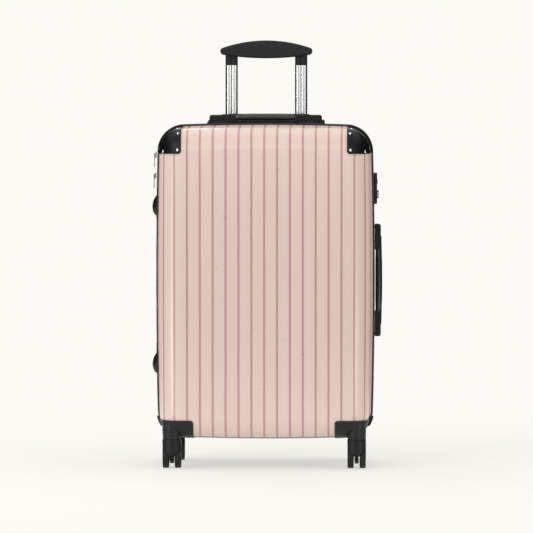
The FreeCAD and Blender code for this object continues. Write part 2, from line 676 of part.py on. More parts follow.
# ---------------------------------------------------------------- trolley
def tube_wire(offset, z):
    """Section of a trolley tube: two ribs with a valley between them on each broad side."""
    half, side = size("tube_half_width"), size("tube_half_side")
    crest, valley = size("tube_crest"), size("tube_valley")

    def rib(x0, y0, x1, y1, crest_y):
        middle = Vector((x0 + x1) / 2, crest_y, 0)
        return Part.Arc(Vector(x0, y0, 0), middle, Vector(x1, y1, 0)).toShape()

    edges = [
        rib(-half, -side, 0, -valley, -crest),
        rib(0, -valley, half, -side, -crest),
        Part.LineSegment(Vector(half, -side, 0), Vector(half, side, 0)).toShape(),
        rib(half, side, 0, valley, crest),
        rib(0, valley, -half, side, crest),
        Part.LineSegment(Vector(-half, side, 0), Vector(-half, -side, 0)).toShape(),
    ]
    wire = Part.Wire(edges)
    if offset:
        wire = wire.makeOffset2D(offset, 0 if offset > 0 else 2)
    wire.translate(Vector(0, 0, z))
    return wire


def tube(outer, inner, bottom, top):
    """A tube, or a bar when inner is None, between two heights."""
    bar = Part.Face(tube_wire(outer, bottom)).extrude(Vector(0, 0, top - bottom))
    if inner is None:
        return bar
    return bar.cut(Part.Face(tube_wire(inner, bottom - 1)).extrude(Vector(0, 0, top - bottom + 2)))


def at_both_tubes(name, shape):
    """Two copies of a shape, one at each trolley tube, as one object."""
    pair = []
    for sign in SIDES.values():
        copy = shape.copy()
        copy.translate(Vector(sign * size("trolley_x"), size("trolley_y"), 0))
        pair.append(copy)
    made = doc.addObject("Part::Feature", name)
    made.Shape = Part.makeCompound(pair)
    return made


wall, slip = size("tube_wall"), size("tube_slip")
middle_outer = slip + wall
fixed_bore = middle_outer + slip
fixed_outer = fixed_bore + wall
inner_tubes = tube(0, -wall, size("inner_tube_bottom"), size("inner_tube_top"))
middle_tubes = tube(middle_outer, slip, size("mid_tube_bottom"), size("mid_tube_top"))
fixed_tubes = tube(fixed_outer, fixed_bore, size("outer_tube_bottom"), size("outer_tube_top"))
node("trolley_inner_tubes", at_both_tubes("trolley_inner_tubes", inner_tubes))
node("trolley_middle_tubes", at_both_tubes("trolley_middle_tubes", middle_tubes))
node("trolley_fixed_tubes", at_both_tubes("trolley_fixed_tubes", fixed_tubes))

SPIGOT = 30.0
SLEEVE_TOP = size("grip_bottom") + 6
sleeve = tube(0, None, size("inner_tube_top"), SLEEVE_TOP)
spigot = tube(-wall - 0.05, None, size("inner_tube_top") - SPIGOT, size("inner_tube_top"))
sleeves = at_both_tubes("sleeve_bars", sleeve.fuse(spigot))


def grip_outline(name):
    """The trolley grip as a block: a lens shape seen from the front."""
    body, sketch = body_with_sketch(name, "XZ_Plane")
    half, top, shoulder = size("grip_half_width"), size("grip_top"), size("grip_shoulder")
    bottom, belly = size("grip_bottom"), size("grip_belly")
    end_round = 3.3
    tip_height = (shoulder + bottom) / 2 + 1.5
    upper = Vector(half - end_round, shoulder, 0)
    lower = Vector(half - 2 * end_round, bottom + 1, 0)
    inner = Vector(size("trolley_x") + size("tube_half_width") - 3, bottom, 0)

    def left(p):
        return Vector(-p.x, p.y, 0)

    curves = [
        Part.Arc(left(upper), Vector(0, top, 0), upper),
        Part.Arc(upper, Vector(half, tip_height, 0), lower),
        Part.LineSegment(lower, inner),
        Part.Arc(inner, Vector(0, belly, 0), left(inner)),
        Part.LineSegment(left(inner), left(lower)),
        Part.Arc(left(lower), Vector(-half, tip_height, 0), left(upper)),
    ]
    for curve in curves:
        sketch.addGeometry(curve, False)
    bind(sketch, AttachmentOffset__Base__z="-trolley_y")
    pad = body.newObject("PartDesign::Pad", name + "_pad")
    pad.Profile = sketch
    pad.Midplane = True
    bind(pad, Length="grip_depth")
    return body


grip_block = grip_outline("grip_block")
doc.recompute()
grip_pad = grip_block.Tip
grip_edges = [
    f"Edge{i}" for i, e in enumerate(grip_pad.Shape.Edges, 1)
    if e.BoundBox.YMax - e.BoundBox.YMin < 0.01 and e.Length > 1
]
grip_round = grip_block.newObject("PartDesign::Fillet", "grip_round")
grip_round.Base = (grip_pad, grip_edges)
grip_round.Radius = 4.5
button_column = box(
    "button_column",
    ("-button_length / 2", "button_length / 2"),
    ("trolley_y - button_width / 2", "trolley_y + button_width / 2"),
    ("button_foot", "grip_top + 5"),
)
button_well = box(
    "button_well_box",
    ("-button_length / 2 - button_slip", "button_length / 2 + button_slip"),
    ("trolley_y - button_width / 2 - button_slip", "trolley_y + button_width / 2 + button_slip"),
    ("button_well", "grip_top + 5"),
)
node("trolley_grip", cut("trolley_grip_cut", grip_block, button_well, sleeves))
node("trolley_grip_sleeves", sleeves)
node("trolley_button", common("trolley_button_common", grip_block, button_column))

bezel_flange_box = box(
    "bezel_flange_box",
    ("-bezel_half_width", "bezel_half_width"),
    ("trolley_y - bezel_half_depth", "trolley_y + bezel_half_depth"),
    ("bezel_floor - 6", "bezel_top"),
)


def upright(edge):
    return is_along(edge, 2)


def around_top(edge):
    low, high = edge_box(edge)
    return abs(low[2] - size("bezel_top")) < 0.01 and abs(high[2] - size("bezel_top")) < 0.01


bezel_upright = round_edges("bezel_upright", bezel_flange_box, 12.0, upright)
bezel_rounded = round_edges("bezel_rounded", bezel_upright, 3.5, around_top)
bezel_outside = cut("bezel_outside", bezel_rounded, rear_solid)
bezel_inside = box(
    "bezel_inside",
    ("-bezel_half_width + bezel_flange + 0.3", "bezel_half_width - bezel_flange - 0.3"),
    ("trolley_y - bezel_half_depth + bezel_flange + 0.3", "trolley_y + bezel_half_depth - bezel_flange - 0.3"),
    ("bezel_bottom", "bezel_top - 4"),
)
grip_well = box(
    "grip_well",
    ("-well_half_width", "well_half_width"),
    ("trolley_y - well_half_depth", "trolley_y + well_half_depth"),
    ("bezel_floor", "bezel_top + 5"),
)
grip_well_round = round_edges("grip_well_round", grip_well, 6.0, upright)
bezel_bores = at_both_tubes("bezel_bores", tube(fixed_bore, None, size("bezel_bottom") - 5, size("bezel_top")))
fixed_seat = at_both_tubes("bezel_seats", tube(fixed_outer + 0.1, None, size("bezel_bottom") - 5, size("outer_tube_top")))
bezel_solid = fuse("bezel_solid", bezel_outside, bezel_inside)
node("trolley_bezel", cut("trolley_bezel_cut", bezel_solid, grip_well_round, bezel_bores, fixed_seat))

base_block = box(
    "base_block",
    ("-base_half_width", "base_half_width"),
    ("trolley_y - well_half_depth", "trolley_y + well_half_depth"),
    ("base_bottom", "base_top"),
)
base_round = round_edges("base_round", base_block, 8.0, upright)
base_sockets = at_both_tubes("base_sockets", tube(fixed_outer, None, size("outer_tube_bottom"), size("base_top") + 5))
node("trolley_tube_base", cut("trolley_tube_base_cut", base_round, base_sockets))


# ---------------------------------------------------------------- carry handles
def handle_profile(name):
    """Carry handle lying along X with its underside towards the wall at z = 0: two flat ends and an arched grip."""
    body, sketch = body_with_sketch(name, "XZ_Plane")
    half, foot, end_top = size("handle_half_length"), size("handle_foot"), size("handle_end_top")
    arch, crown = size("handle_arch"), size("handle_crown")
    end_round, inner_step, outer_step, ramp = 5.0, 63.0, 86.0, 3.0
    rise = 1.2
    right = [
        ((outer_step, end_top + rise), None), ((outer_step + ramp, end_top), None),
        ((half - end_round, end_top), None),
    ]
    tip = (half, end_top - end_round)
    middle = (half - end_round * (1 - math.sqrt(0.5)), end_top - end_round * (1 - math.sqrt(0.5)))
    points = [p for p, _ in right] + [tip, (half, foot), (inner_step, foot), (inner_step - ramp, arch)]
    vectors = [Vector(x, y, 0) for x, y in points]

    def left(p):
        return Vector(-p.x, p.y, 0)

    curves = [Part.Arc(left(vectors[0]), Vector(0, crown, 0), vectors[0])]
    for k in range(len(vectors) - 1):
        start, end = vectors[k], vectors[k + 1]
        if k == 2:
            curves.append(Part.Arc(start, Vector(*middle, 0), end))
            curves.append(Part.Arc(left(end), left(Vector(*middle, 0)), left(start)))
        else:
            curves.append(Part.LineSegment(start, end))
            curves.append(Part.LineSegment(left(end), left(start)))
    curves.append(Part.LineSegment(vectors[-1], left(vectors[-1])))
    for curve in curves:
        sketch.addGeometry(curve, False)
    pad = body.newObject("PartDesign::Pad", name + "_pad")
    pad.Profile = sketch
    pad.Midplane = True
    bind(pad, Length="2 * handle_half_width")
    doc.recompute()
    long_edges = [
        f"Edge{i}" for i, e in enumerate(pad.Shape.Edges, 1)
        if e.BoundBox.YMax - e.BoundBox.YMin < 0.01 and e.BoundBox.ZMin > (foot + end_top) / 2 - 3 and e.Length > 1
    ]
    rounding = body.newObject("PartDesign::Fillet", name + "_round")
    rounding.Base = (pad, long_edges)
    rounding.Radius = 4.0
    return body


def handle_set(prefix, placement, wall_block):
    """Grip, spring strip and two brackets of one carry handle, laid out along X and then placed on its wall."""
    def bar(label, x, y, z):
        return box(f"{prefix}_{label}", x, y, z)

    strip = bar(
        "strip", ("-strip_half_length", "strip_half_length"), ("-strip_half_width", "strip_half_width"),
        ("strip_bottom", "strip_bottom + strip_thick"),
    )
    slots, plates = [], []
    for side, sign in SIDES.items():
        def span(inner, outer, sign=sign):
            return (inner, outer) if sign == RIGHT else (f"-({outer})", f"-({inner})")

        slots.append(bar(
            f"slot_{side}", span("post_inner - post_slip", "post_outer + post_slip"),
            ("-post_half_width - post_slip", "post_half_width + post_slip"),
            ("handle_foot - 2", "post_top + post_slip"),
        ))
        plate = bar(
            f"plate_{side}", span("bracket_inner", "bracket_outer"),
            ("-handle_half_width + 1", "handle_half_width - 1"), ("-3", "bracket_thick"),
        )
        post = bar(
            f"post_{side}", span("post_inner", "post_outer"), ("-post_half_width", "post_half_width"),
            ("bracket_thick - 2", "post_top"),
        )
        bevelled = round_edges(f"{prefix}_plate_round_{side}", plate, 5.0, upright)
        plates.append(fuse(f"{prefix}_bracket_{side}", bevelled, post))
    grip = cut(f"{prefix}_grip", handle_profile(f"{prefix}_profile"), strip, *slots)
    grip.Placement = placement
    core = doc.addObject("Part::Feature", f"{prefix}_core")
    doc.recompute()
    core.Shape = strip.Shape.copy()
    core.Placement = placement.multiply(strip.Placement)
    seated = []
    for plate in plates:
        plate.Placement = placement
        seated.append(cut(f"{plate.Name}_seated", plate, wall_block))
    node(f"{prefix}_handle_grip", grip)
    node(f"{prefix}_handle_strip", core)
    node(f"{prefix}_handle_brackets", group(f"{prefix}_brackets", *seated))


top_wall = size("case_centre_height") + size("case_half_height")
handle_set("top", Placement(Vector(0, size("handle_y"), top_wall), Rotation()), rear_solid)
side_turn = Rotation(Vector(0, 0, -1), Vector(0, 1, 0), Vector(1, 0, 0), "XYZ")
side_seat = size("case_half_width") - size("side_handle_sink")
side_place = Placement(Vector(side_seat, size("handle_y"), size("case_centre_height")), side_turn)
handle_set("side", side_place, rear_solid)


# ---------------------------------------------------------------- combination lock
lock_block = box(
    "lock_block", ("case_half_width - 10", "lock_face"),
    ("lock_y - lock_half_width", "lock_y + lock_half_width"),
    ("lock_centre_height - lock_half_height", "lock_centre_height + lock_half_height"),
)


def along_depth_axis(edge):
    low, _ = edge_box(edge)
    return is_along(edge, 0) and low[0] < size("lock_face")


def round_face(edge):
    low, _ = edge_box(edge)
    return abs(low[0] - size("lock_face")) < 0.01


lock_corners = round_edges("lock_corners", lock_block, 7.0, along_depth_axis)
lock_rounded = round_edges("lock_rounded", lock_corners, 2.0, round_face)
lock_seated = cut("lock_seated", lock_rounded, rear_solid)
dial_slots = []
for number in range(3):
    height = f"(dial_first + {number} * dial_pitch)"
    disc = cylinder(
        f"dial_disc_{number}", "dial_radius", "dial_thick", "dial_x", "lock_y", f"{height} - dial_thick / 2"
    )
    bore = cylinder(
        f"dial_bore_{number}", "dial_shaft + running_gap", "dial_thick + 2", "dial_x", "lock_y",
        f"{height} - dial_thick / 2 - 1",
    )
    node(f"lock_dial_{number + 1}", cut(f"dial_{number}", disc, bore))
    dial_slots.append(cylinder(
        f"dial_slot_{number}", "dial_radius + dial_slip", "dial_thick + dial_slip", "dial_x", "lock_y",
        f"{height} - (dial_thick + dial_slip) / 2",
    ))
LATCH_DEPTH = 3.0


def latch_face(edge):
    return edge_box(edge)[0][0] > size("lock_face") + 1.3


latch = box(
    "latch_block", (f"lock_face - {LATCH_DEPTH}", "lock_face + 1.4"),
    ("lock_y - latch_half_width", "lock_y + latch_half_width"),
    ("latch_height - latch_half_height", "latch_height + latch_half_height"),
)
latch_pocket = box(
    "latch_pocket", (f"lock_face - {LATCH_DEPTH} - latch_slip", "lock_face + 3"),
    ("lock_y - latch_half_width - latch_slip", "lock_y + latch_half_width + latch_slip"),
    ("latch_height - latch_half_height - latch_slip",
     "latch_height + latch_half_height + latch_travel + latch_slip"),
)
node("lock_release_latch", round_edges("latch_rounded", latch, 1.0, latch_face))
dial_shaft = cylinder(
    "dial_shaft_bar", "dial_shaft", "2 * dial_pitch + dial_thick + 3", "dial_x", "lock_y",
    "dial_first - dial_thick / 2 - 1.5",
)
lock_hollow = cut("lock_hollow", lock_seated, latch_pocket, *dial_slots)
node("lock_body", fuse("lock_body_whole", lock_hollow, dial_shaft))


# ---------------------------------------------------------------- zip sliders and pulls
def zip_slider(name, height):
    """Slider plate over the coil, with a lug that carries the pull's pin."""
    wall = wall_x(height)

    def out(amount):
        return f"-{wall} - ({amount})"

    plate = box(
        name + "_plate", (out("slider_top"), out("slider_foot")), ("-slider_half_width", "slider_half_width"),
        (f"{height} - slider_half_length", f"{height} + slider_half_length"),
    )
    plate_round = round_edges(name + "_plate_round", plate, 2.5, lambda e: is_along(e, 0))
    keel = box(
        name + "_keel", (out("slider_foot + 0.5"), out("coil_proud + 0.8")), ("0.4", "1.5"),
        (f"{height} - slider_half_length + 2", f"{height} + slider_half_length - 2"),
    )
    lug = box(
        name + "_lug", (out("lug_top"), out("slider_top - 0.3")), ("-1.5", "1.5"),
        (f"{height} - 3", f"{height} + 3"),
    )
    eye = cylinder(
        name + "_eye", "lug_pin + 0.15", "8", out("slider_top + 1.1"), "-4", height, ALONG_Y
    )
    return cut(name, fuse(name + "_solid", plate_round, keel, lug), eye)


def zip_pull(name, height):
    """Pull hanging from the lug: a pin, two arms round the lug and a flat tag."""
    wall = wall_x(height)
    middle = f"(-{wall} - (slider_top + 1.1))"
    pin = cylinder(name + "_pin", "lug_pin", "7", middle, "-3.5", height, ALONG_Y)
    arms = [
        box(
            f"{name}_arm_{k}", (f"{middle} - 0.8", f"{middle} + 0.8"), (low, high),
            (f"{height} - pull_length * 0.55", f"{height} + 0.8"),
        )
        for k, (low, high) in enumerate((("-3.5", "-2"), ("2", "3.5")))
    ]
    tag = box(
        name + "_tag", (f"{middle} - 1", f"{middle} + 0.8"), ("-3.8", "3.8"),
        (f"{height} - pull_length", f"{height} - pull_length * 0.5"),
    )
    tag_round = round_edges(name + "_tag_round", tag, 1.8, lambda e: is_along(e, 0))
    return fuse(name, pin, *arms, tag_round)


for which in ("upper", "lower"):
    node(f"zip_slider_{which}", zip_slider(f"zip_slider_{which}", f"slider_{which}"))
    node(f"zip_pull_{which}", zip_pull(f"zip_pull_{which}", f"slider_{which}"))


# ---------------------------------------------------------------- inside: linings, straps and buckle
lining_out = "-shell_wall - lining_slip"
lining_in = f"{lining_out} - lining_thick"


def neck_caps(name, grow, top):
    """Round columns over the wheel housings of the front half."""
    return [
        cylinder(f"{name}_{side}", f"neck_radius + {grow}", top, f"{sign} * caster_x", "-caster_y", "0")
        for side, sign in SIDES.items()
    ]


def slab(name, low, high):
    """Everything between two depths."""
    wide, tall = "case_half_width + 30", "case_half_height + 30"
    return box(
        name, (f"-({wide})", wide), (low, high),
        (f"case_centre_height - ({tall})", f"case_centre_height + {tall}"),
    )


lining_block = case_block("lining_block", lining_out)
lining_hollow = case_block("lining_hollow", lining_in)
front_rim = slab("front_lining_rim", "-lining_rim", "10")
cap_columns = neck_caps("lining_cap_column", "well_cap + 0.4", "neck_top + well_cap")
caps = [common(f"lining_cap_{k}", column, lining_block) for k, column in enumerate(cap_columns)]
front_tray = fuse("front_tray", cut("front_tray_shell", lining_block, lining_hollow), *caps)
cap_hollows = neck_caps("lining_cap_hollow", "0.6", "neck_top + 0.4")
node("front_lining", cut("front_lining_cut", front_tray, front_rim, *cap_hollows))

rear_depth = slab("rear_lining_depth", "0", "lining_floor")
rear_lining_block = common("rear_lining_block", mirror("rear_lining_full", lining_block, ACROSS_Y), rear_depth)
rear_inner_depth = slab("rear_inner_depth", "0", "lining_floor - lining_thick")
rear_lining_inner = common(
    "rear_lining_inner", mirror("rear_hollow_full", lining_hollow, ACROSS_Y), rear_inner_depth
)
rear_rim = slab("rear_lining_rim", "-10", "lining_rim")
node("rear_lining", cut("rear_lining_cut", rear_lining_block, rear_lining_inner, rear_rim))

STRAP_SPAN = size("case_half_width") - 5.9
straps = []
for number, (sign_x, sign_z) in enumerate(((1, 1), (-1, 1), (-1, -1), (1, -1))):
    tilt = sign_z * size("strap_tilt") if sign_x > 0 else 180 - sign_z * size("strap_tilt")
    strap = Part.makeBox(
        size("strap_reach") - size("buckle_half_length") + 9, size("strap_thick"), 2 * size("strap_half_width"),
        Vector(size("buckle_half_length") - 9, 0, -size("strap_half_width")),
    )
    strap.rotate(Vector(), Vector(0, 1, 0), -tilt)
    strap.translate(Vector(0, size("strap_y"), size("case_centre_height")))
    reach = Part.makeBox(
        2 * STRAP_SPAN, 40, 2 * size("case_half_height"),
        Vector(-STRAP_SPAN, 0, size("case_centre_height") - size("case_half_height")),
    )
    straps.append(strap.common(reach))
buckle_box = Part.makeBox(
    2 * size("buckle_half_length"), size("buckle_thick"), 2 * size("buckle_half_height"),
    Vector(
        -size("buckle_half_length"), size("strap_y") - size("buckle_thick") / 2 + size("strap_thick") / 2,
        size("case_centre_height") - size("buckle_half_height"),
    ),
)
buckle_solid = buckle_box.makeFillet(3.0, [e for e in buckle_box.Edges if is_along(e, 1)])
packing_straps = doc.addObject("Part::Feature", "packing_straps")
packing_straps.Shape = Part.makeCompound([s.cut(buckle_solid) for s in straps])
node("packing_straps", packing_straps)
strap_buckle = doc.addObject("Part::Feature", "strap_buckle")
strap_buckle.Shape = buckle_solid
node("strap_buckle", strap_buckle)


# ---------------------------------------------------------------- check and write
def write_parts(folder="parts"):
    """Recomputes, refuses anything invalid, and writes one STEP file for each node."""
    doc.recompute()
    for thing in doc.Objects:
        if {"Invalid", "Error"} & set(thing.State):
            raise RuntimeError(f"{thing.Name} failed: {thing.State}")
    os.makedirs(folder, exist_ok=True)
    for old in os.listdir(folder):
        if old.endswith(".step"):
            os.remove(os.path.join(folder, old))
    for thing in NODES:
        shape = thing.Shape
        if shape.isNull() or not shape.isValid() or not shape.Solids:
            raise RuntimeError(f"{thing.Label} has no valid solid")
        Part.makeCompound(shape.Solids).exportStep(os.path.join(folder, thing.Label + ".step"))
        print(f"{thing.Label:28s} {len(shape.Solids):3d} solids {shape.Volume / 1000:9.2f} cm3")


write_parts()
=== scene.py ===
"""Looks for a hard shell spinner suitcase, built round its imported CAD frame.

Everything is in metres in the CAD's frame: +Z up, the printed front half towards -Y, the black rear half
towards +Y, the fabric hinge on -X, the lock and the side handle on +X.
"""

import math

import bmesh
import bpy
from bpy.props import FloatProperty, FloatVectorProperty, PointerProperty
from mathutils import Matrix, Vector, noise


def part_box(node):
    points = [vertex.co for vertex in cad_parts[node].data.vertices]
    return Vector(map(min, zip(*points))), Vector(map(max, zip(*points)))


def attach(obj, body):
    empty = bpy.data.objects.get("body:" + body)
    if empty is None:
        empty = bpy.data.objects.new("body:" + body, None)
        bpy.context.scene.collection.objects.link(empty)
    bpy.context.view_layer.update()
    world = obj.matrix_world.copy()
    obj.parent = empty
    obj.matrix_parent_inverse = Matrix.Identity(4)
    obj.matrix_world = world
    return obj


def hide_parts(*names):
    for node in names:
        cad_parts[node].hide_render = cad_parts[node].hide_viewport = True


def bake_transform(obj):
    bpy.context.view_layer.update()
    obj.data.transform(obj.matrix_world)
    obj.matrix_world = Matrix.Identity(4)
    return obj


bl_info = {
    "name": "Spinner suitcase",
    "version": (1, 0, 0),
    "blender": (4, 5, 0),
    "location": "View3D > Sidebar > Suitcase",
    "description": "Finishes, cloth, zip and studio of a hard shell spinner suitcase",
    "category": "Object",
}

MM = 0.001
RIB_PITCH = 1.6 * MM          # ribs of the strap webbing and of the wheels' tread
HUB_RADIUS = 19.2 * MM        # inside this a wheel's faces are hub, outside it tread
HINGE_REACH = 124 * MM        # the zip has no teeth this far above and below the middle of the hinge side
LID_FLOOR = -126.2 * MM       # the lining on the lid's floor, where the pocket is sewn
FULL_TURN = 2 * math.pi
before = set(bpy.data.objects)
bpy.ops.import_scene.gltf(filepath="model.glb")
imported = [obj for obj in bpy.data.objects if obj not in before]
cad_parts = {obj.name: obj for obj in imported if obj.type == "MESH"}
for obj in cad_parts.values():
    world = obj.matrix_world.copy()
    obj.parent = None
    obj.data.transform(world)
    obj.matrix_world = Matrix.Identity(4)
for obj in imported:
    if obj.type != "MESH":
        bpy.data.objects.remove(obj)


# ---------------------------------------------------------------- settings
def length(name, description, millimetres):
    return FloatProperty(name=name, description=description, default=millimetres * MM, unit="LENGTH")


def plain(name, description, value):
    return FloatProperty(name=name, description=description, default=value)


def colour(name, description, srgb):
    """A colour given as 0 to 255 display values, kept in linear light."""
    linear = [((c / 255 + 0.055) / 1.055) ** 2.4 if c > 10 else c / 255 / 12.92 for c in srgb]
    return FloatVectorProperty(name=name, description=description, subtype="COLOR", size=3, default=linear)


class CaseSettings(bpy.types.PropertyGroup):
    """The case's outline: the same bowed, round-cornered shape that the CAD sketches draw."""
    half_width: length("Half width", "Middle of the case to its side wall", 209.5)
    half_height: length("Half height", "Middle of the case to its top wall", 306.0)
    centre_height: length("Centre height", "Floor to the middle of the case", 364.8)
    depth: length("Depth", "Seam plane to the face of each half", 132.0)
    side_bow: length("Side bow", "Radius of the long sides", 9700.0)
    end_bow: length("End bow", "Radius of the top and the bottom", 4450.0)
    corner: length("Corner", "Radius of the corners", 46.0)
    edge: length("Edge", "Radius from the face to the walls", 42.0)


class FinishSettings(bpy.types.PropertyGroup):
    """Colours and scales of the finishes."""
    shell: colour("Shell", "Blush pink polycarbonate", (212, 192, 181))
    stripe: colour("Stripe", "Mauve pinstripe", (180, 137, 141))
    band: colour("Band", "Rose tone between the stripes", (215, 187, 179))
    black: colour("Black", "Black plastics", (34, 34, 36))
    lining: colour("Lining", "Grey lining cloth", (116, 112, 116))
    stripe_pitch: length("Stripe pitch", "Distance between pinstripes along the surface", 25.25)
    stripe_width: length("Stripe width", "Width of one pinstripe", 4.3)
    stripe_offset: length("Stripe offset", "Sideways shift of the pattern", 0.6)


class StageSettings(bpy.types.PropertyGroup):
    """Camera and studio light."""
    azimuth: plain("Azimuth", "Camera angle round the case, in degrees", 1.25)
    elevation: plain("Elevation", "Camera angle above the floor, in degrees", 2.7)
    distance: length("Distance", "Camera to the middle of the case", 10000.0)
    target_height: length("Target height", "Height that the camera looks at", 393.2)
    lens: plain("Lens", "Focal length on a 36 mm sensor", 340.0)
    key: plain("Key", "Power of the key light, in watts", 45.0)
    world: plain("World", "Strength of the surrounding white", 1.0)
    shift: plain("Shift", "Sideways shift of the camera's frame, as a share of its width", 0.0022)


# ---------------------------------------------------------------- materials
class Finish:
    """One procedural material, built a node at a time round a Principled shader."""

    def __init__(self, name, base, roughness=0.5, metallic=0.0, **constants):
        self.material = bpy.data.materials.new(name)
        self.material.use_nodes = True
        self.tree = self.material.node_tree
        self.shader = self.tree.nodes["Principled BSDF"]
        self.put("Base Color", base)
        self.put("Roughness", roughness)
        self.put("Metallic", metallic)
        for socket, value in constants.items():
            self.put(socket.replace("_", " "), value)
        self.height = None

    def put(self, socket, value):
        """Sets or links one of the shader's own sockets."""
        self.plug(self.shader.inputs[socket], value)

    def plug(self, socket, value):
        """Links a socket to a socket, or gives it a number or a colour."""
        if isinstance(value, bpy.types.NodeSocket):
            self.tree.links.new(value, socket)
        elif hasattr(socket.default_value, "__len__") and len(socket.default_value) == 4:
            socket.default_value = (*value[:3], 1.0)
        else:
            socket.default_value = value

    def node(self, kind, inputs=None, **settings):
        made = self.tree.nodes.new("ShaderNode" + kind)
        for name, value in settings.items():
            setattr(made, name, value)
        for socket, value in (inputs or {}).items():
            self.plug(made.inputs[socket], value)
        return made

    def math(self, operation, *values):
        """One step of arithmetic on sockets or numbers."""
        return self.node("Math", dict(enumerate(values)), operation=operation).outputs[0]

    def position(self, scale=(1.0, 1.0, 1.0)):
        """The surface point in metres, stretched by scale."""
        where = self.node("TexCoord").outputs["Object"]
        return self.node("Mapping", {"Vector": where, "Scale": scale}).outputs[0]

    def axes(self):
        split = self.node("SeparateXYZ", {0: self.position()})
        return split.outputs[0], split.outputs[1], split.outputs[2]

    def noise(self, scale, detail=3.0, stretch=(1.0, 1.0, 1.0), roughness=0.55):
        inputs = {"Vector": self.position(stretch), "Scale": scale, "Detail": detail, "Roughness": roughness}
        return self.node("TexNoise", inputs).outputs["Fac"]

    def cells(self, scale, stretch=(1.0, 1.0, 1.0)):
        return self.node("TexVoronoi", {"Vector": self.position(stretch), "Scale": scale}).outputs["Distance"]

    def remap(self, value, low, high, start=0.0, stop=1.0):
        inputs = {"Value": value, "From Min": start, "From Max": stop, "To Min": low, "To Max": high}
        return self.node("MapRange", inputs).outputs["Result"]

    def mix(self, factor, first, second, blend="MIX"):
        """Two colours mixed by the factor; sockets 0, 6 and 7 are the colour mode's own."""
        made = self.node("Mix", data_type="RGBA", blend_type=blend)
        for socket, value in ((0, factor), (6, first), (7, second)):
            self.plug(made.inputs[socket], value)
        return made.outputs[2]

    def shade(self, base, factor, low, high):
        """The base colour multiplied by a grey that runs from low to high with the factor."""
        grey = self.remap(factor, low, high)
        return self.mix(1.0, base, self.node("CombineColor", {0: grey, 1: grey, 2: grey}).outputs[0], "MULTIPLY")

    def bump(self, height, strength, distance):
        """Adds one layer of relief; later layers sit on the earlier ones."""
        inputs = {"Height": height, "Strength": strength, "Distance": distance}
        if self.height is not None:
            inputs["Normal"] = self.height
        self.height = self.node("Bump", inputs).outputs[0]
        self.put("Normal", self.height)
        return self


def satin_plastic(name, base, roughness, grain, depth, coat=0.0, specular=0.5):
    """Moulded plastic: spark-eroded grain, slow changes of gloss, and light scuffs."""
    made = Finish(name, base, roughness, Specular_IOR_Level=specular, Coat_Weight=coat, Coat_Roughness=0.22)
    gloss = made.noise(38.0, 4.0)
    scuffs = made.noise(420.0, 2.0, (1.0, 1.0, 0.12))
    fine = made.math("MULTIPLY", scuffs, 0.35)
    made.put("Roughness", made.remap(made.math("ADD", gloss, fine), roughness - 0.08, roughness + 0.12, 0.3, 1.0))
    made.put("Base Color", made.shade(base, gloss, 0.88, 1.14))
    made.bump(made.noise(9.0, 2.0), 0.06, 0.004)
    made.bump(made.cells(grain), depth, 0.0004)
    return made


def black_plastics(settings):
    """The black mouldings' finishes, each a share of the one black."""
    # share of the black, roughness, grain cells per metre, depth of the grain, gloss
    table = {
        "guard": (0.25, 0.34, 900.0, 0.12, 0.22),
        "trim": (0.5, 0.36, 900.0, 0.12, 0.34),
        "shell": (0.6, 0.36, 520.0, 0.07, 0.3),
        "grip": (0.9, 0.50, 1500.0, 0.32, 0.22),
        "caster": (0.5, 0.38, 1300.0, 0.20, 0.26),
        "button": (1.6, 0.28, 1500.0, 0.10, 0.3),
    }
    return {
        name: satin_plastic(
            f"{name}_black", tuple(c * share for c in settings.black), roughness, grain, depth, 0.0, gloss
        ).material
        for name, (share, roughness, grain, depth, gloss) in table.items()
    }


